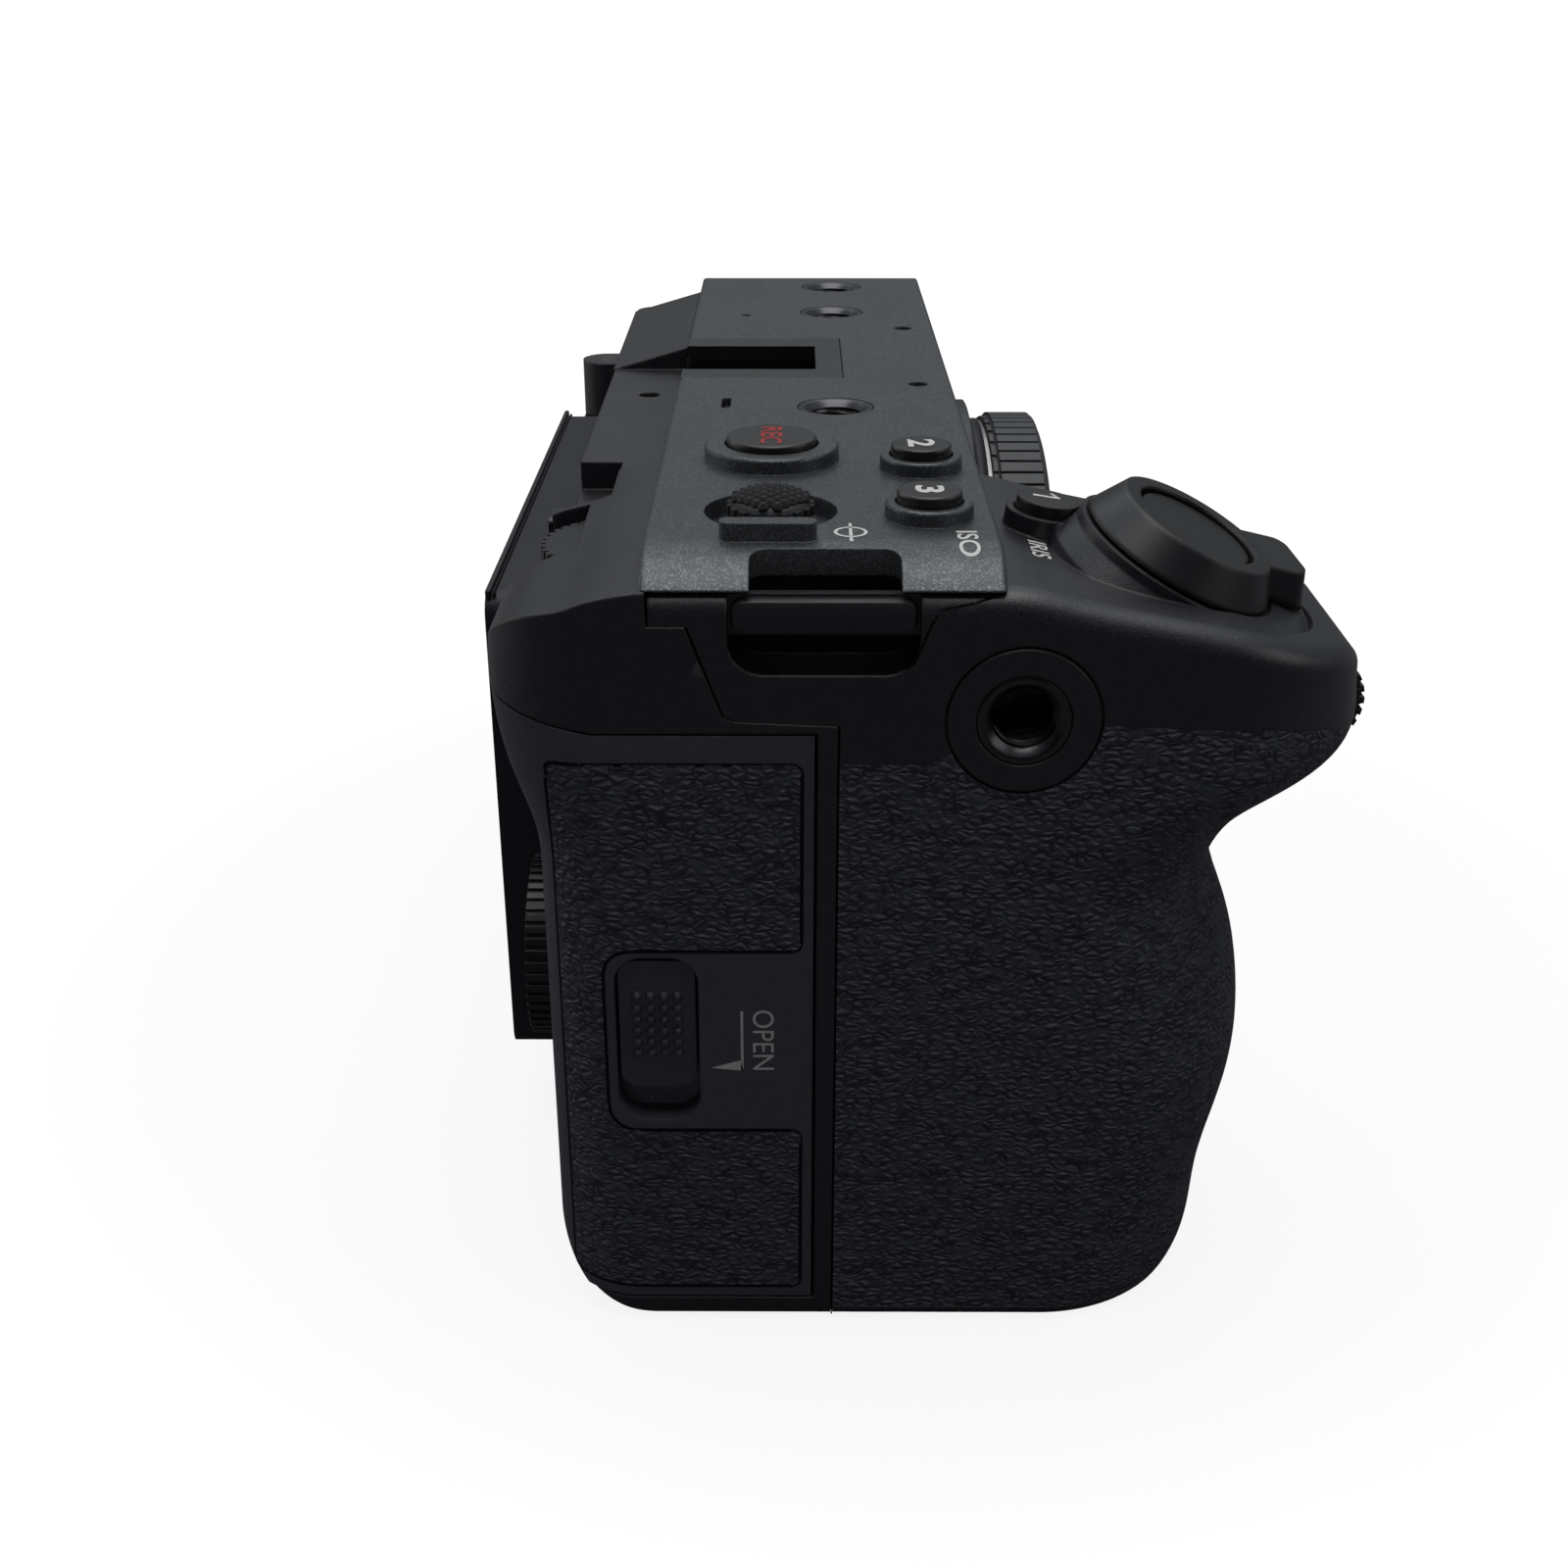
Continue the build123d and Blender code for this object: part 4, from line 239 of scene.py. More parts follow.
def finish_of(
    name, colour, rough, metallic=0.0, specular=0.5, grain=0.0, flakes=0.0, leather=0.0, edge=0.18, dust=0.4,
    smear=0.08, coat=0.0,
):
    """A finish from the shared groups, with a painted glint on metal flakes and painted shade in the
    leather's creases. The depths of grain and leather and the edge's radius are in mm.
    """
    material, g, out = bare_material(name)
    skin = g.add(
        "ShaderNodeBsdfPrincipled",
        {"Metallic": metallic, "Specular IOR Level": specular, "Coat Weight": coat, "Coat Roughness": 0.12},
    )
    g.feed(out, "Surface", skin.outputs[0])
    mottle = g.add("ShaderNodeGroup", node_tree=GRAIN).outputs
    use = g.add("ShaderNodeGroup", {"Dust": dust}, node_tree=HANDLING).outputs
    base = g.mix(mottle["Mottle"], tinted(colour, 0.8), tinted(colour, 1.25, 0.002))
    roughness = rough
    if smear:
        roughness = g.math("ADD", g.math("MULTIPLY", use["Smear"], -smear), rough + smear / 2)
    normal = g.soft_edges(edge) if edge else None
    if grain:
        normal = g.relief(mottle["Height"], grain, normal)
    if flakes:
        # Painted glint: the flakes that the group picks get a brighter base colour; their tilt is a real bump
        flakes_and_glints = g.add("ShaderNodeGroup", node_tree=FLAKES_AND_GLINTS).outputs
        base = g.mix(flakes_and_glints["Painted glint"], base, tinted(colour, 1.0 + flakes * 1.2, 0.002))
        normal = g.relief(flakes_and_glints["Height"], 0.04, normal, strength=0.5)
    if leather:
        hide = g.add("ShaderNodeGroup", node_tree=LEATHER).outputs
        # Painted shade: the creases between the pebbles are darkened in the base colour
        base = g.mix(hide["Painted crease shade"], base, tinted(colour, 0.35))
        normal = g.relief(hide["Height"], leather, normal)
        roughness = g.math("ADD", roughness, g.math("MULTIPLY", hide["Painted crease shade"], 0.35))
    if dust:
        base = g.mix(use["Dust"], base, DUST_COLOUR)
    g.feed(skin, "Base Color", base)
    g.feed(skin, "Roughness", roughness)
    if normal:
        g.feed(skin, "Normal", normal)
    return material


def turned_metal(name, colour, rough, rings=0.0):
    """Bare metal, with fine lathe rings round the lens axis if a rate is given."""
    material, g, out = bare_material(name)
    skin = g.add("ShaderNodeBsdfPrincipled", {"Metallic": 1.0})
    g.feed(out, "Surface", skin.outputs[0])
    where = g.where()
    cloudy = g.noise(where, 420.0, detail=5.0)["Fac"]
    g.feed(skin, "Base Color", g.mix(cloudy, tinted(colour, 0.8), tinted(colour)))
    g.feed(skin, "Roughness", g.math("ADD", g.math("MULTIPLY", cloudy, 0.16), rough - 0.08))
    normal = g.soft_edges(0.12)
    if rings:
        centred = g.add("ShaderNodeMapping", {"Vector": where, "Location": (0, 0, -AXIS_Z * MM)}).outputs[0]
        wave = g.add(
            "ShaderNodeTexWave", {"Vector": centred, "Scale": rings, "Distortion": 0.4}, wave_type="RINGS",
            rings_direction="Y",
        ).outputs["Fac"]
        normal = g.relief(wave, 0.01, normal, strength=0.15)
    g.feed(skin, "Normal", normal)
    return material


def clear_glass():
    """The thin filter over the sensor, with a faint green cast."""
    material, g, out = bare_material("sensor filter glass")
    smear = g.noise(g.where(), 120.0)["Fac"]
    skin = g.add("ShaderNodeBsdfPrincipled", {"Transmission Weight": 0.9, "IOR": 1.5})
    g.feed(skin, "Base Color", g.mix(smear, (0.72, 0.86, 0.84, 1.0), (0.78, 0.9, 0.88, 1.0)))
    g.feed(skin, "Roughness", g.math("MULTIPLY", smear, 0.05))
    g.feed(out, "Surface", skin.outputs[0])
    return material


# Coatings of the shell; the metallic ones carry a painted glint on their flakes
PLATE = finish_of(
    "grey metallic coating", (0.072, 0.076, 0.08), 0.42, metallic=0.75, grain=0.03, flakes=1.0, dust=0.3,
    edge=0.25,
)
COVER = finish_of(
    "black metallic coating", (0.0048, 0.0052, 0.008), 0.4, specular=0.7, grain=0.012, flakes=0.5, dust=0.35,
    edge=0.4,
)
SHADOW_COVER = finish_of("black inner coating", (0.008, 0.008, 0.009), 0.6, specular=0.25, grain=0.01)

# Rubber and plastics
# The hide's creases are darkened with painted shade
HIDE = finish_of(
    "pebbled rubber hide", (0.034, 0.0366, 0.048), 0.55, specular=0.42, leather=0.75, dust=0.15, edge=0.0
)
SOFT = finish_of("soft black rubber", (0.012, 0.0125, 0.014), 0.58, specular=0.35, grain=0.006, dust=0.3)
MOULDED = finish_of(
    "moulded black plastic", (0.0085, 0.0088, 0.012), 0.5, specular=0.35, grain=0.008, dust=0.3
)
LATCH = finish_of("card latch plastic", (0.026, 0.0265, 0.034), 0.4, grain=0.002, dust=0.2)
DOOR = finish_of("card door plastic", (0.034, 0.035, 0.044), 0.48, specular=0.45, grain=0.008, dust=0.3)
LEVER = finish_of(
    "lever plastic", (0.0042, 0.0045, 0.006), 0.38, specular=0.7, grain=0.004, dust=0.3, edge=0.55
)
CAP = finish_of("lens cap plastic", (0.03, 0.0315, 0.035), 0.5, specular=0.6, grain=0.006, dust=0.2)
SMOOTH = finish_of("smooth black plastic", (0.0055, 0.0058, 0.008), 0.34, grain=0.002, dust=0.3)
SATIN = finish_of(
    "satin black lacquer", (0.0045, 0.0047, 0.0055), 0.36, specular=0.65, dust=0.2, coat=0.05, edge=0.3
)
BAR = finish_of("strap bar plastic", (0.011, 0.0112, 0.0135), 0.4, grain=0.004, dust=0.2, edge=0.12)
BATTERY = finish_of("battery case", (0.02, 0.021, 0.023), 0.45, grain=0.01)
BOARD = finish_of("green circuit board", (0.012, 0.075, 0.035), 0.35, grain=0.01, dust=0.2)

# Clear and printed surfaces, and the near black of painted shade in gaps and hollows
LAMP = finish_of("red lamp lens", (0.18, 0.006, 0.006), 0.12, specular=0.6, dust=0.1, coat=0.5)
SCREEN = finish_of(
    "screen glass", (0.006, 0.0065, 0.008), 0.07, specular=0.6, dust=0.5, edge=0.0, smear=0.05, coat=0.4
)
FILTER_GLASS = clear_glass()
WHITE_PRINT = finish_of("white print", (0.62, 0.62, 0.6), 0.6, edge=0.0, dust=0.0)
GREY_PRINT = finish_of("grey print", (0.3, 0.3, 0.29), 0.6, edge=0.0, dust=0.0)
RED_PRINT = finish_of("red print", (0.32, 0.012, 0.010), 0.55, edge=0.0, dust=0.0)
# Near black, painted shade for the gap lines, the seam, the strap pocket and the monitor's groove
PAINTED_SHADE = finish_of("painted shade of gaps and hollows", (0.002, 0.002, 0.0025), 0.8, specular=0.1, edge=0.0, dust=0.0, smear=0.0)

# Bare metals
BLACK_STEEL = turned_metal("blackened steel", (0.085, 0.085, 0.09), 0.32)
RAIL_STEEL = turned_metal("black shoe steel", (0.10, 0.105, 0.11), 0.38)
BRIGHT_STEEL = turned_metal("turned bright steel", (0.5, 0.49, 0.475), 0.28, rings=900.0)
SCREW_STEEL = turned_metal("dark screw steel", (0.16, 0.16, 0.165), 0.32)
ALUMINIUM = turned_metal("bare aluminium", (0.56, 0.57, 0.58), 0.4)
GOLD = turned_metal("gold contacts", (0.72, 0.5, 0.22), 0.25)
BRONZE = turned_metal("bronze strip", (0.30, 0.21, 0.12), 0.4)

FINISHED = [
    (PLATE, ["top_plate"]),
    (COVER, ["grip_cover", "front_cover", "rear_cover", "base_plate"]),
    (COVER, ["monitor_arm", "monitor_hinge_bracket"]),
    (SHADOW_COVER, ["chassis_frame"]),
    (HIDE, ["grip_leather", "card_leather", "thumb_pad"]),
    (SOFT, ["audio_cover", "data_cover", "joystick_cap"]),
    (MOULDED, ["monitor_housing", "battery_door"]),
    (LATCH, ["card_latch"]),
    (DOOR, ["card_door"]),
    (LEVER, ["zoom_lever"]),
    (CAP, ["body_cap"]),
    (SATIN, ["button_1", "button_2", "button_3", "rec_button", "shutter_button"]),
    (SMOOTH, ["battery_latch", "battery_catch", "lens_release_button", "joystick_carrier", "front_dial"]),
    (SMOOTH, ["rear_dial", "control_wheel", "centre_button", "menu_button", "playback_button"]),
    (SMOOTH, ["power_switch", "card_slots", "port_sockets", "fan_housing", "fan_rotor", "strap_bars"]),
    (BATTERY, ["battery_pack"]),
    (BOARD, ["main_board", "sensor_unit"]),
    (LAMP, ["tally_lamp"]),
    (SCREEN, ["monitor_glass"]),
    (FILTER_GLASS, ["sensor_filter"]),
    (BLACK_STEEL, ["thread_inserts"]),
    (RAIL_STEEL, ["accessory_shoe"]),
    (BRIGHT_STEEL, ["mount_ring", "lens_lock_pin"]),
    (SCREW_STEEL, ["tripod_insert", "mount_screws", "base_screws", "hinge_pins"]),
    (ALUMINIUM, ["shift_base", "shift_frame", "heat_sink"]),
    (GOLD, ["lens_contacts"]),
    (BRONZE, ["shoe_contacts"]),
]
for material, wearers in FINISHED:
    for node in wearers:
        slots = NODES[node].data.materials
        slots.clear()
        slots.append(material)


# Mesh helpers
CREASE = math.radians(40)   # a sharper edge stays hard
SAME_PLACE = 1e-6           # in metres: nearer points are merged


def shape_of(obj):
    """The evaluated mesh of an object, which is removed."""
    bpy.context.view_layer.update()
    graph = bpy.context.evaluated_depsgraph_get()
    mesh = bpy.data.meshes.new_from_object(obj.evaluated_get(graph))
    bpy.data.objects.remove(obj)
    return mesh


def riding(name, mesh, body):
    """A mesh as a piece that rides on a body and takes its finish from a slot."""
    obj = add_object(name, mesh)
    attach(obj, body)
    return obj


def face_outwards(mesh, smooth=True, merge=True):
    """Merges a closed mesh's doubles, turns its faces outwards and shades them."""
    shell = bmesh.new()
    shell.from_mesh(mesh)
    if merge:
        bmesh.ops.remove_doubles(shell, verts=shell.verts, dist=SAME_PLACE)
    bmesh.ops.recalc_face_normals(shell, faces=shell.faces)
    for face in shell.faces:
        face.smooth = smooth
    shell.to_mesh(mesh)
    shell.free()


def piece(name, verts, faces, material, body="camera_body", smooth=True):
    """A closed mesh piece from points in metres."""
    mesh = bpy.data.meshes.new(name)
    mesh.from_pydata([tuple(v) for v in verts], [], faces)
    face_outwards(mesh, smooth)
    mesh.materials.append(material)
    return riding(name, mesh, body)


def soften(obj):
    """Leaves hard creases only at the sharp edges of a smooth piece."""
    shell = bmesh.new()
    shell.from_mesh(obj.data)
    for edge in shell.edges:
        if len(edge.link_faces) == 2:
            edge.smooth = edge.calc_face_angle(0) < CREASE
    shell.to_mesh(obj.data)
    shell.free()
    return obj


def tree_over(node):
    """A search tree over a CAD node's faces."""
    mesh = NODES[node].data
    return BVHTree.FromPolygons([v.co[:] for v in mesh.vertices], [p.vertices[:] for p in mesh.polygons])


def bridged(rows, count, joined=False):
    """Faces between neighbouring rows, each a loop of count points, and from last to first if joined."""
    faces = []
    for row in range(rows if joined else rows - 1):
        here, after = row * count, (row + 1) % rows * count
        for k in range(count):
            j = (k + 1) % count
            faces.append((here + k, here + j, after + j, after + k))
    return faces


def basis(place, outward):
    """A matrix that puts +Z of a drawn piece along outward, at a place in mm."""
    return Matrix.Translation(mm(*place)) @ Vector(outward).to_track_quat("Z", "Y").to_matrix().to_4x4()


def lathed(profile, count):
    """Round rings of count points each from a profile of (radius, height)."""
    return [[point] * count for point in profile]


def revolved(name, rings, place, outward, material, body="camera_body"):
    """A closed piece from rings of (radius, height) in mm, one pair for each step of the turn."""
    count = len(rings[0])
    at = basis(place, outward)
    verts = []
    for ring in rings:
        for step, (radius, height) in enumerate(ring):
            angle = 2 * math.pi * step / count
            verts.append(at @ mm(radius * math.cos(angle), radius * math.sin(angle), height))
    return piece(name, verts, bridged(len(rings), count), material, body)


# Printed marks, all generic
PRINT_LIFT = 0.03           # how far a print stands off its surface
LONGEST_EDGE = 0.45         # of a print, so that it follows a curved surface
DROP = 3                    # how far over its centre a print starts on its way to the surface


def print_on(name, node, flat, centre, ink, body, across=TO_RIGHT, up=AHEAD):
    """Lays a flat mesh, drawn in mm, on a node's surface: across and up are its two directions."""
    across, up = Vector(across).normalized(), Vector(up).normalized()
    out = across.cross(up)
    surface = tree_over(node)
    fine = bmesh.new()
    fine.from_mesh(flat)
    bmesh.ops.triangulate(fine, faces=fine.faces)
    for _ in range(2):
        long_edges = [e for e in fine.edges if e.calc_length() > LONGEST_EDGE]
        if long_edges:
            bmesh.ops.subdivide_edges(fine, edges=long_edges, cuts=1)
            bmesh.ops.triangulate(fine, faces=fine.faces)
    for vert in fine.verts:
        spot = Vector(centre) * MM + (across * vert.co.x + up * vert.co.y) * MM
        hit = surface.ray_cast(spot + out * DROP * MM, -out)[0]
        vert.co = (hit or spot) + out * PRINT_LIFT * MM
    fine.to_mesh(flat)
    fine.free()
    flat.materials.clear()
    flat.materials.append(ink)
    return riding(name, flat, body)


def lettering(text, height, stretch, weight=0.0):
    """Words as a flat mesh in mm, centred, with capitals of the given height."""
    curve = bpy.data.curves.new(text, "FONT")
    curve.body = text
    curve.align_x = "CENTER"
    curve.align_y = "CENTER"
    curve.offset = weight
    curve.resolution_u = 4
    mesh = shape_of(add_object(text, curve))
    xs = [v.co.x for v in mesh.vertices]
    ys = [v.co.y for v in mesh.vertices]
    scale = height / (max(ys) - min(ys))
    middle = Vector(((max(xs) + min(xs)) / 2, (max(ys) + min(ys)) / 2, 0))
    for vert in mesh.vertices:
        vert.co = (vert.co - middle) * scale
        vert.co.x *= stretch
    return mesh


def outline_mesh(name, shapes):
    """A flat mesh in mm from shapes that are either one polygon or a pair of inner and outer loops."""
    verts, faces = [], []
    for shape in shapes:
        start = len(verts)
        if isinstance(shape[0][0], (int, float)):
            verts += [(x, y, 0) for x, y in shape]
            faces.append(tuple(range(start, len(verts))))
        else:
            inner, outer = shape
            verts += [(x, y, 0) for x, y in inner + outer]
            faces += [tuple(start + n for n in face) for face in bridged(2, len(inner))]
    mesh = bpy.data.meshes.new(name)
    mesh.from_pydata(verts, [], faces)
    sheet = bmesh.new()
    sheet.from_mesh(mesh)
    for face in sheet.faces:
        face.normal_update()
        if face.normal.z < 0:
            face.normal_flip()
    sheet.to_mesh(mesh)
    sheet.free()
    return mesh


def circle(radius, count=48):
    """Points round a circle."""
    angles = [2 * math.pi * i / count for i in range(count)]
    return [(radius * math.cos(angle), radius * math.sin(angle)) for angle in angles]


print_on(
    "rec_letters", "rec_button", lettering("REC", 2.1, 1.25, 0.02), (-44.5, 12.0, 80.0), RED_PRINT,
    "rec_button",
)
for digit, x, y in (("2", -48.1, -2.2), ("3", -63.6, -2.0)):
    print_on(
        f"digit_{digit}", f"button_{digit}", lettering(digit, 2.55, 1.6, 0.03), (x, y, 80.2), WHITE_PRINT,
        f"button_{digit}",
    )
tilt = math.radians(9.0)    # button 1 leans forward with the deck
stem_and_flag = [
    [(-0.26, -1.25), (0.26, -1.25), (0.26, 1.25), (-0.26, 1.25)],
    [(-0.26, 1.2), (-1.25, 0.72), (-1.25, 0.42), (-0.26, 0.8)],
]
print_on(
    "digit_1", "button_1", outline_mesh("digit_one", stem_and_flag), (-56.3, -13.2, 77.4), WHITE_PRINT,
    "button_1", up=(0, -math.cos(tilt), -math.sin(tilt)),
)
print_on(
    "iso_letters", "top_plate", lettering("ISO", 1.8, 1.45, 0.012), (-70.7, -4.9, TOP_Z), WHITE_PRINT,
    "camera_body",
)
print_on(
    "iris_letters", "grip_cover", lettering("IRIS", 1.7, 1.3, 0.012), (-63.4, -11.9, 75.0), WHITE_PRINT,
    "camera_body",
)
ring_and_line = [(circle(1.15), circle(1.45)), [(-2.5, -0.14), (2.5, -0.14), (2.5, 0.14), (-2.5, 0.14)]]
print_on(
    "sensor_plane_mark", "top_plate", outline_mesh("sensor_plane_mark", ring_and_line), (-68.4, 5.0, TOP_Z),
    WHITE_PRINT, "camera_body",
)
shaft_and_barb = [
    [(-3.1, -0.12), (3.3, -0.12), (3.3, 0.12), (-3.1, 0.12)],
    [(3.3, 0.12), (3.0, -2.9), (2.15, -0.12)],
]
for name, flat, y in (
    ("open_letters", lettering("OPEN", 1.95, 0.92), 12.55),
    ("open_arrow", outline_mesh("open_arrow", shaft_and_barb), 14.5),
):
    print_on(
        name, "card_door", flat, (GRIP_X, y, 32.2), GREY_PRINT, "card_door", across=DOWN
    )

# Threaded inserts with real turns, a countersink and a soft outer edge
THREAD_PITCH = 1.27         # twenty turns to the inch
THREAD_BORE = 2.55
THREAD_GROOVE = 3.15
INSERT_RADIUS = 4.1
COUNTERSINK = 0.7           # where the thread starts
STEPS_PER_TURN = 56
ROWS_PER_TURN = 10
FADE_ROWS = 5               # over which the thread begins


def insert_rings(depth, length):
    """Rings of (radius, height) in mm from an insert's back, round its rim and down its thread."""
    rings = lathed(
        [
            (0, -length), (INSERT_RADIUS, -length), (INSERT_RADIUS, -0.22), (INSERT_RADIUS - 0.07, -0.07),
            (INSERT_RADIUS - 0.22, 0.0), (3.5, 0.0), (3.38, -0.05), (3.0, -0.45),
        ],
        STEPS_PER_TURN,
    )
    for row in range(int((depth - COUNTERSINK) / (THREAD_PITCH / ROWS_PER_TURN)) + 1):
        height = -COUNTERSINK - row * THREAD_PITCH / ROWS_PER_TURN
        fade = min(1.0, row / FADE_ROWS)
        ring = []
        for step in range(STEPS_PER_TURN):
            share = (height / THREAD_PITCH - step / STEPS_PER_TURN) % 1.0
            rise = min(1.0, max(0.0, 2.6 * abs(share - 0.5) - 0.15))
            cut = rise * fade + (1 - fade) * 0.3
            ring.append((THREAD_BORE + (THREAD_GROOVE - THREAD_BORE) * cut, height))
        rings.append(ring)
    return rings + lathed([(THREAD_BORE, -depth - 0.1), (0, -depth - 0.3)], STEPS_PER_TURN)


def threaded_insert(label, place, outward, material, node, depth, length):
    """A threaded insert in place of a CAD node's plain one."""
    insert = revolved(
        f"thread_insert_{label}", insert_rings(depth, length), place, outward, material
    )
    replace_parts(soften(insert), node)


for label, place, outward in (
    ("top_near", (-24.1, 5.4, TOP_Z), UP),
    ("top_middle", (27.0, 4.9, TOP_Z), UP),
    ("top_far", (44.8, 4.6, TOP_Z), UP),
    ("grip", (GRIP_X, -9.65, 63.9), TO_RIGHT),
    ("left", (LEFT_X, 7.35, 50.8), TO_LEFT),
):
    threaded_insert(label, place, outward, BLACK_STEEL, "thread_inserts", depth=7.2, length=8.0)
threaded_insert("tripod", (0, 0, 0), DOWN, SCREW_STEEL, "tripod_insert", depth=6.2, length=6.5)


# Repeated details by Geometry Nodes


class Build(Graph):
    """A geometry tree with named sizes."""

    def __init__(self, name, sizes):
        tree = bpy.data.node_groups.new(name, "GeometryNodeTree")
        super().__init__(tree)
        self.sizes = {}
        for label, size in sizes.items():
            kind = "NodeSocketInt" if isinstance(size, int) else "NodeSocketFloat"
            socket = tree.interface.new_socket(label, in_out="INPUT", socket_type=kind)
            self.sizes[socket.identifier] = size
        tree.interface.new_socket("Geometry", in_out="OUTPUT", socket_type="NodeSocketGeometry")
        self.given = self.add("NodeGroupInput").outputs
        self.result = self.add("NodeGroupOutput")

    def end(self, geometry, material):
        real = self.add("GeometryNodeRealizeInstances", {0: geometry}).outputs[0]
        made = self.add("GeometryNodeSetMaterial", {"Geometry": real, "Material": material}).outputs[0]
        self.feed(self.result, 0, made)


def grown(name, build, body, at):
    """Runs a geometry tree once and keeps its mesh as a piece, placed by a matrix."""
    obj = add_object(name, bpy.data.meshes.new(name))
    modifier = obj.modifiers.new("build", "NODES")
    modifier.node_group = build.tree
    for identifier, size in build.sizes.items():
        modifier[identifier] = size
    mesh = shape_of(obj)
    mesh.transform(at)
    face_outwards(mesh, merge=False)
    return soften(riding(name, mesh, body))


def stud_dome(material, radius, pitch, stud, dome, across):
    """Pointed studs in a square grid over a low dome, each turned with the dome's slope. Sizes are in mm."""
    b = Build(
        "studs over a dome",
        {"Radius": radius * MM, "Pitch": pitch * MM, "Stud": stud * MM, "Dome": dome * MM, "Across": across},
    )
    given = b.given
    side = b.math("MULTIPLY", given["Pitch"], b.math("SUBTRACT", given["Across"], 1.0))
    grid = b.add(
        "GeometryNodeMeshGrid", {0: side, 1: side, 2: given["Across"], 3: given["Across"]}
    ).outputs["Mesh"]
    where = b.add("GeometryNodeInputPosition").outputs[0]
    far = b.length(where)
    outside = b.add("FunctionNodeCompare", {0: far, 1: given["Radius"]}, operation="GREATER_THAN")
    kept = b.add("GeometryNodeDeleteGeometry", {0: grid, 1: outside.outputs[0]}, domain="POINT").outputs[0]
    drop = b.math("DIVIDE", b.math("MULTIPLY", far, far), b.math("MULTIPLY", given["Dome"], -2.0))
    lowered = b.add("ShaderNodeCombineXYZ", {2: drop}).outputs[0]
    placed = b.add("GeometryNodeSetPosition", {"Geometry": kept, "Offset": lowered}).outputs[0]
    tip = b.math("MULTIPLY", given["Stud"], 0.35)
    cone = b.add(
        "GeometryNodeMeshCone",
        {"Vertices": 8, "Radius Top": tip, "Radius Bottom": given["Stud"], "Depth": given["Stud"]},
    ).outputs["Mesh"]
    slope = b.vector("ADD", where, b.add("ShaderNodeCombineXYZ", {2: given["Dome"]}).outputs[0])
    lean = b.add("FunctionNodeAlignRotationToVector", {"Vector": slope}, axis="Z").outputs[0]
    copies = b.add("GeometryNodeInstanceOnPoints", {"Points": placed, "Instance": cone, "Rotation": lean})
    b.end(copies.outputs[0], material)
    return b


def rib_ring(material, radius, width, depth, length, bars):
    """Bars laid round a drum, along its axis Z. Sizes are in mm."""
    sizes = {"Radius": radius * MM, "Bar width": width * MM, "Bar depth": depth * MM, "Length": length * MM}
    b = Build("bars round a drum", {**sizes, "Bars": bars})
    given = b.given
    ring = b.add("GeometryNodeMeshCircle", {"Vertices": given["Bars"], "Radius": given["Radius"]}).outputs[0]
    size = b.add("ShaderNodeCombineXYZ", {0: given["Bar depth"], 1: given["Bar width"], 2: given["Length"]})
    rib = b.add("GeometryNodeMeshCube", {"Size": size.outputs[0]}).outputs["Mesh"]
    where = b.add("GeometryNodeInputPosition").outputs[0]
    facing = b.add("FunctionNodeAlignRotationToVector", {"Vector": where}, axis="X", pivot_axis="Z")
    copies = b.add(
        "GeometryNodeInstanceOnPoints", {"Points": ring, "Instance": rib, "Rotation": facing.outputs[0]}
    )
    b.end(copies.outputs[0], material)
    return b


# The stick's cap: a domed disc with studs over it and ribs round its edge
STICK = (-62.0, 11.9)
STICK_TOP = 79.5
STICK_PROFILE = [             # radius and height
    (0, 74.6), (1.25, 74.6), (1.25, 77.2), (3.1, 77.2), (3.5, 77.32), (3.68, 77.6),
    (3.72, 78.0), (3.62, 78.45), (3.3, 78.8), (2.6, 79.02), (1.5, 79.16), (0, 79.2),
]
stick_rings = lathed([(radius, z - STICK_TOP) for radius, z in STICK_PROFILE], 48)
stick = revolved("joystick_dome", stick_rings, (*STICK, STICK_TOP), UP, SOFT, "joystick_cap")
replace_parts(stick, "joystick_cap")
studs = stud_dome(SOFT, radius=3.3, pitch=0.86, stud=0.52, dome=16.0, across=9)
grown(
    "joystick_studs", studs, "joystick_cap",
    Matrix.Translation(mm(*STICK, 79.22)) @ Matrix.Rotation(math.radians(45), 4, "Z"),
)
edge_ribs = rib_ring(SOFT, radius=3.58, width=0.74, depth=0.6, length=0.9, bars=18)
grown("joystick_edge_ribs", edge_ribs, "joystick_cap", Matrix.Translation(mm(*STICK, 78.05)))

# Bars round the lens cap and the front dial, and the sleeve behind the lens mount
CAP_MIDDLE = (0, -16.25, AXIS_Z)
CAP_RADIUS = 31.15
FRONT_DIAL = (-60.0, -37.85, 59.9)


def band(name, place, material, body, inner, outer, low, high, count):
    """A square-edged ring round the lens axis, between two radii and two heights in mm."""
    profile = [(inner, low), (outer, low), (outer, high), (inner, high), (inner, low)]
    return revolved(name, lathed(profile, count), place, AHEAD, material, body)


band(
    "cap_grip_band", CAP_MIDDLE, CAP, "body_cap", inner=30.0, outer=CAP_RADIUS, low=-2.6, high=2.75, count=160
)
cap_bars = rib_ring(CAP, radius=CAP_RADIUS, width=1.65, depth=0.6, length=4.8, bars=96)
grown("cap_grip_bars", cap_bars, "body_cap", basis(CAP_MIDDLE, AHEAD))
dial_bars = rib_ring(SMOOTH, radius=4.5, width=0.6, depth=0.8, length=4.9, bars=26)
grown("front_dial_bars", dial_bars, "front_dial", basis(FRONT_DIAL, TO_LEFT))
band(
    "mount_sleeve", (0, -11.0, AXIS_Z), MOULDED, "camera_body", inner=30.4, outer=30.75, low=-0.2, high=1.5,
    count=120,
)

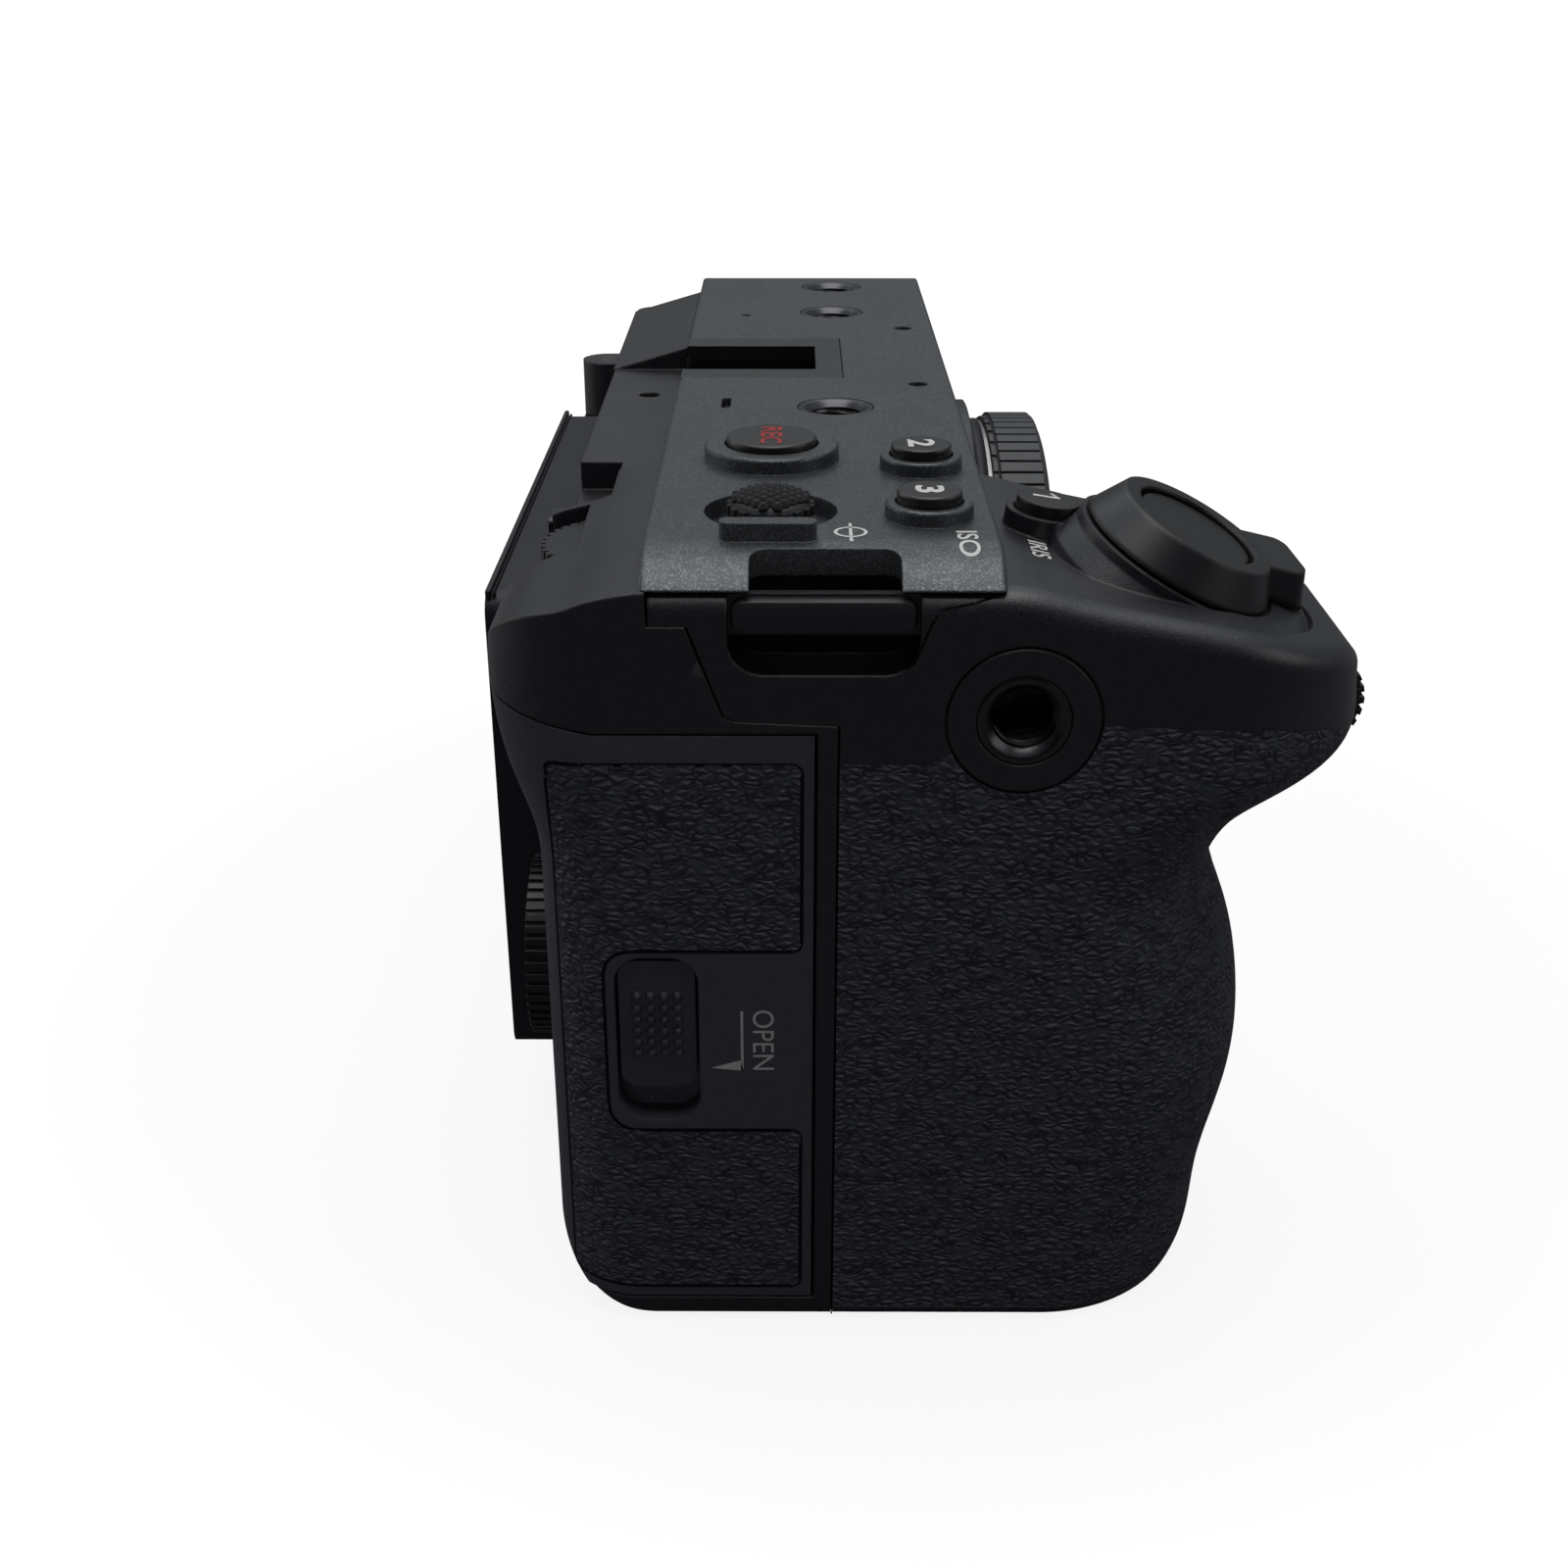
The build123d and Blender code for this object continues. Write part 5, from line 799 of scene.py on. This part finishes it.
# Gaps shown by thin dark lines of painted shade
OUTSIDE_X = GRIP_X - 13.0   # where rays towards the grip's side start
SPACING = 0.8               # between the points of a gap line, at most
GAP_DEPTH = 0.15            # of the dark bar under the surface
GAP_LIFT = 0.015            # keeps the dark bar just above the surface
ARC_STEPS = 6               # in the arc of one corner


def rounded(corners):
    """Points along an outline of (across, up, corner radius), every corner drawn as an arc."""
    points = []
    count = len(corners)
    for i, (y, z, radius) in enumerate(corners):
        here = Vector((y, z))
        before = (Vector(corners[i - 1][:2]) - here).normalized()
        after = (Vector(corners[(i + 1) % count][:2]) - here).normalized()
        start, end = here + before * radius, here + after * radius
        for step in range(ARC_STEPS + 1):
            t = step / ARC_STEPS
            points.append(start * (1 - t) ** 2 + here * 2 * t * (1 - t) + end * t * t)
    return points


def finely(points, closed):
    """The same line, closed or open, with more points on its long runs."""
    made = []
    for i in range(len(points) if closed else len(points) - 1):
        first, last = points[i], points[(i + 1) % len(points)]
        steps = max(1, math.ceil((last - first).length / SPACING))
        made += [first.lerp(last, k / steps) for k in range(steps)]
    return made if closed else made + [points[-1]]


def gap_shade_line(name, nodes, line, width, body, closed):
    """A thin dark bar of painted shade laid into the grip-side surface along a line of (y, z) points in mm.
    """
    trees = [tree_over(node) for node in nodes]
    laid = []
    for y, z in finely(line, closed):
        hits = [tree.ray_cast(mm(OUTSIDE_X, y, z), Vector(TO_LEFT)) for tree in trees]
        hits = [hit for hit in hits if hit[0] is not None]
        if hits:
            spot, normal = min(hits, key=lambda hit: hit[3])[:2]
            laid.append((spot, normal if normal.x < 0 else -normal))
    verts = []
    count = len(laid)
    for i, (spot, normal) in enumerate(laid):
        before = laid[i - 1 if closed else max(i - 1, 0)][0]
        after = laid[(i + 1) % count if closed else min(i + 1, count - 1)][0]
        side = normal.cross(after - before).normalized() * width / 2 * MM
        for across, height in ((-1, -GAP_DEPTH), (-1, GAP_LIFT), (1, GAP_LIFT), (1, -GAP_DEPTH)):
            verts.append(spot + side * across + normal * height * MM)
    faces = bridged(count, 4, joined=closed)
    if not closed:
        faces += [(0, 3, 2, 1), tuple(range(len(verts) - 4, len(verts)))]
    return piece(name, verts, faces, PAINTED_SHADE, body, smooth=False)


skin_outline = rounded([
    (9.1, 4.0, 1.0), (31.3, 4.0, 1.0), (31.3, 59.8, 1.0), (9.1, 59.8, 1.0),
    (9.1, 41.5, 1.0), (27.0, 41.5, 3.0), (27.0, 22.3, 3.0), (9.1, 22.3, 1.0),
])
gap_shade_line("card_leather_edge_shade", ["card_leather", "card_door"], skin_outline, 0.32, "card_door", closed=True)
lip_points = [(-7.6, 74.9), (-4.6, 74.2), (-2.3, 73.8), (-1.6, 72.7), (-0.8, 70.6), (-0.2, 69.2), (0.5, 68.6)]
pocket_lip = [Vector(point) for point in lip_points]
gap_shade_line("pocket_lip_shade", ["grip_cover"], pocket_lip, 0.22, "camera_body", closed=False)
# A near-black block inside the bottom of the seam: painted shade, so that the seam shows dark
seam_shade_corners = [
    mm(x, y, z) for x in (-76.7, -36.0) for y in (SEAM_Y - 0.07, SEAM_Y + 0.07) for z in (0.3, 3.0)
]
seam_shade_faces = [(0, 1, 3, 2), (4, 6, 7, 5), (0, 4, 5, 1), (2, 3, 7, 6), (0, 2, 6, 4), (1, 5, 7, 3)]
piece("seam_shade_block", seam_shade_corners, seam_shade_faces, PAINTED_SHADE, smooth=False)

# Strap bars with rounded ends, and painted shade inside their pocket
BAR_LAYERS = [              # depth from the outer face, inset of the outline, and its corner radius
    (2.0, 0.0, 0.05), (1.1, 0.0, 0.05), (1.1, 0.32, 1.0),
    (0.55, 0.32, 1.0), (0.2, 0.45, 0.95), (0.0, 0.85, 0.7),
]
SKIN = 0.04                 # half the thickness of the sheet of painted shade in the pocket
RAY_STEP = 0.15             # between the rays that find the pocket's walls


def ring_of(low, high, inset, radius, x):
    """A closed ring of points in mm at one x, a rounded rectangle drawn inside two (y, z) corners."""
    margin = inset + radius
    (y0, z0), (y1, z1) = low, high
    y0, z0, y1, z1 = y0 + margin, z0 + margin, y1 - margin, z1 - margin
    points = []
    for cy, cz, start in ((y1, z1, 0), (y0, z1, 90), (y0, z0, 180), (y1, z0, 270)):
        for step in range(ARC_STEPS + 1):
            angle = math.radians(start + 90 * step / ARC_STEPS)
            points.append((x, cy + radius * math.cos(angle), cz + radius * math.sin(angle)))
    return points


def strap_bar(name, outer_x, inward, low, high):
    """A bar across its pocket: square where it meets the walls, rounded and softened where it shows."""
    rings = [
        ring_of(low, high, inset, radius, outer_x + inward * depth) for depth, inset, radius in BAR_LAYERS
    ]
    verts = [mm(*point) for ring in rings for point in ring]
    count = len(rings[0])
    ends = [tuple(range(count)), tuple(reversed(range(len(verts) - count, len(verts))))]
    return soften(piece(name, verts, ends + bridged(len(rings), count), BAR))


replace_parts(strap_bar("strap_bar_right", -76.8, 1, (-0.7, 71.2), (15.4, 74.8)), "strap_bars")
strap_bar("strap_bar_left", 51.5, -1, (-0.7, 61.2), (15.4, 64.2))


def pocket_shade_sheet(name, start, toward, along, beside, counts, deepest):
    """A thin dark sheet of painted shade inside the right strap pocket, where rays from a grid of starts meet
    a wall.
    """
    tree = tree_over("grip_cover")
    start, toward, along, beside = Vector(start), Vector(toward), Vector(along), Vector(beside)
    first, verts = {}, []
    for i in range(counts[0]):
        for k in range(counts[1]):
            origin = (start + (along * i + beside * k) * RAY_STEP) * MM
            spot, normal, _, far = tree.ray_cast(origin, toward)
            if spot is not None and far < deepest * MM:
                normal = normal if normal.dot(toward) < 0 else -normal
                first[i, k] = len(verts)
                verts += [spot + normal * SKIN * MM, spot - normal * SKIN * MM]
    faces, rim = [], {}
    for i, k in first:
        corners = ((i, k), (i, k + 1), (i + 1, k + 1), (i + 1, k))
        if any(corner not in first for corner in corners):
            continue
        loop = [first[corner] for corner in corners]
        faces += [tuple(loop), tuple(n + 1 for n in reversed(loop))]
        for a, b in zip(loop, loop[1:] + loop[:1]):
            if (b, a) in rim:
                del rim[b, a]
            else:
                rim[a, b] = True
    faces += [(b, a, a + 1, b + 1) for a, b in rim]
    used = sorted({n for face in faces for n in face})
    number = {n: m for m, n in enumerate(used)}
    return piece(name, [verts[n] for n in used], [tuple(number[n] for n in face) for face in faces], PAINTED_SHADE)


# Near-black sheets over the right pocket's back wall and floor: painted shade
pocket_shade_sheet("strap_pocket_back_shade", (-76.5, -0.6, 68.1), TO_LEFT, TO_BACK, UP, (107, 22), 5.6)
pocket_shade_sheet("strap_pocket_floor_shade", (-76.75, -0.6, 71.1), DOWN, TO_LEFT, TO_BACK, (34, 107), 3.3)


# The monitor's raised edge, and a dark strip of painted shade for the groove before it


def slab(name, low, high, material, body, chamfer):
    """A box between two corners in mm, with its edges rounded by a small bevel."""
    box = bmesh.new()
    bmesh.ops.create_cube(box, size=1.0)
    for vert in box.verts:
        vert.co = mm(*[low[i] + (vert.co[i] + 0.5) * (high[i] - low[i]) for i in range(3)])
    bmesh.ops.bevel(box, geom=box.edges, offset=chamfer * MM, segments=2, affect="EDGES", profile=0.5)
    box.verts.index_update()
    verts = [v.co.copy() for v in box.verts]
    faces = [tuple(v.index for v in f.verts) for f in box.faces]
    box.free()
    return soften(piece(name, verts, faces, material, body))


slab("monitor_edge_bar", (-44.4, 40.15, 63.3), (29.6, 40.75, 64.15), MOULDED, "monitor", 0.15)
slab("monitor_groove_shade", (-44.2, 39.75, 63.4), (29.4, 40.0, 63.73), PAINTED_SHADE, "monitor", 0.02)

# The view of the photograph
EYE = (-225.107, 10.021, 126.902)
EYE_RIGHT = (0.00433, -0.99999, 0.0)
EYE_UP = (0.42152, 0.00183, 0.90683)
EYE_BACK = (-0.90682, -0.00392, 0.42152)
lens = bpy.data.cameras.new("view")
lens.sensor_width = 36.0
lens.lens = 43.74
lens.clip_start, lens.clip_end = 0.01, 20
eye = add_object("view", lens)
eye.matrix_world = Matrix.Translation(mm(*EYE)) @ Matrix([EYE_RIGHT, EYE_UP, EYE_BACK]).transposed().to_4x4()
bpy.context.scene.camera = eye

# Floor and backdrop
GLOSSY_SHARE = 0.1          # of the white backdrop in reflections, from the side beyond the object
WHITE = (1.0, 1.0, 1.0, 1.0)


def sees_white(g, x, near, far):
    """How far a ray sees the white backdrop: mirrored ones only by a share, which grows from near to far."""
    path = g.add("ShaderNodeLightPath").outputs
    beyond = g.smooth(x, near, far, 0.0, GLOSSY_SHARE)
    seen = g.math("MAXIMUM", path["Is Camera Ray"], path["Is Transmission Ray"])
    return g.math("MAXIMUM", seen, g.math("MULTIPLY", path["Is Glossy Ray"], beyond))


def floor_material():
    """White to the camera and in reflections, with the object's shadow kept on it."""
    material, g, out = bare_material("white floor")
    where = g.where()
    seen = sees_white(g, g.add("ShaderNodeSeparateXYZ", {0: where}).outputs[0], -0.1, 0.3)
    white = g.add("ShaderNodeEmission", {"Color": WHITE, "Strength": 1.05}).outputs[0]
    matt = g.add("ShaderNodeBsdfDiffuse", {"Color": (0.8, 0.8, 0.8, 1.0)}).outputs[0]
    dim = g.add("ShaderNodeBsdfDiffuse", {"Color": (0.11, 0.11, 0.12, 1.0)}).outputs[0]
    whiteness = g.smooth(g.length(where), 0.085, 0.14, 0.84, 1.0)
    lit = g.add("ShaderNodeMixShader", {0: whiteness, 1: matt, 2: white}).outputs[0]
    g.feed(out, "Surface", g.add("ShaderNodeMixShader", {0: seen, 1: dim, 2: lit}).outputs[0])
    return material


REACH_OF_FLOOR = 4          # each way, in metres
ground = bpy.data.meshes.new("floor")
corners = [(x * REACH_OF_FLOOR, y * REACH_OF_FLOOR, 0) for x, y in ((-1, -1), (1, -1), (1, 1), (-1, 1))]
ground.from_pydata(corners, [], [(0, 1, 2, 3)])
ground.materials.append(floor_material())
floor = add_object("floor", ground)
floor.location.z = -0.2 * MM


def studio_world():
    """A dim bluish room, brighter above and beyond the object, and the white backdrop."""
    world = bpy.data.worlds.new("studio")
    world.use_nodes = True
    world.node_tree.nodes.clear()
    g = Graph(world.node_tree)
    facing = g.add("ShaderNodeSeparateXYZ", {0: g.add("ShaderNodeTexCoord").outputs["Generated"]}).outputs
    high = g.smooth(facing[2], 0.1, 0.8, 0.03, 0.36)
    beyond = g.smooth(facing[0], -0.8, 0.5, 0.12, 1.0)
    strength = g.math("MULTIPLY", high, beyond)
    room = g.add("ShaderNodeBackground", {"Color": (0.82, 0.92, 1.0, 1.0), "Strength": strength}).outputs[0]
    backdrop = g.add("ShaderNodeBackground", {"Color": WHITE, "Strength": 1.0}).outputs[0]
    seen = sees_white(g, facing[0], -0.2, 0.4)
    shown = g.add("ShaderNodeMixShader", {0: seen, 1: room, 2: backdrop}).outputs[0]
    g.feed(g.add("ShaderNodeOutputWorld"), "Surface", shown)
    return world


bpy.context.scene.world = studio_world()

# Soft lamps, with places and sizes in metres


def soft_light(name, place, aim, width, height, watts, mirrored=True):
    """A wide lamp turned to an aim. One that isn't mirrored leaves no highlight."""
    lamp = bpy.data.lights.new(name, "AREA")
    lamp.shape = "RECTANGLE"
    lamp.size, lamp.size_y = width, height
    lamp.energy = watts
    obj = add_object(name, lamp)
    obj.location = Vector(place)
    obj.rotation_euler = (Vector(aim) - Vector(place)).to_track_quat("-Z", "Y").to_euler()
    obj.visible_camera = False
    obj.visible_glossy = mirrored


soft_light("overhead", (-0.04, 0.0, 0.85), (0, 0, 0.05), 0.7, 0.7, 4.0)
soft_light("rear", (0.6, 0.1, 0.7), (0, 0, 0.05), 0.9, 0.5, 0.8)
soft_light("front", (-0.25, -0.8, 0.45), (0, 0, 0.04), 0.6, 0.5, 1.0)
soft_light("back", (0.2, 0.95, 0.2), (0, 0, 0.04), 0.8, 0.5, 1.6)
soft_light("grip side", (-0.9, 0.15, 0.1), (-0.07, 0, 0.04), 0.5, 0.4, 1.2, mirrored=False)

bpy.context.scene.view_settings.view_transform = "Standard"
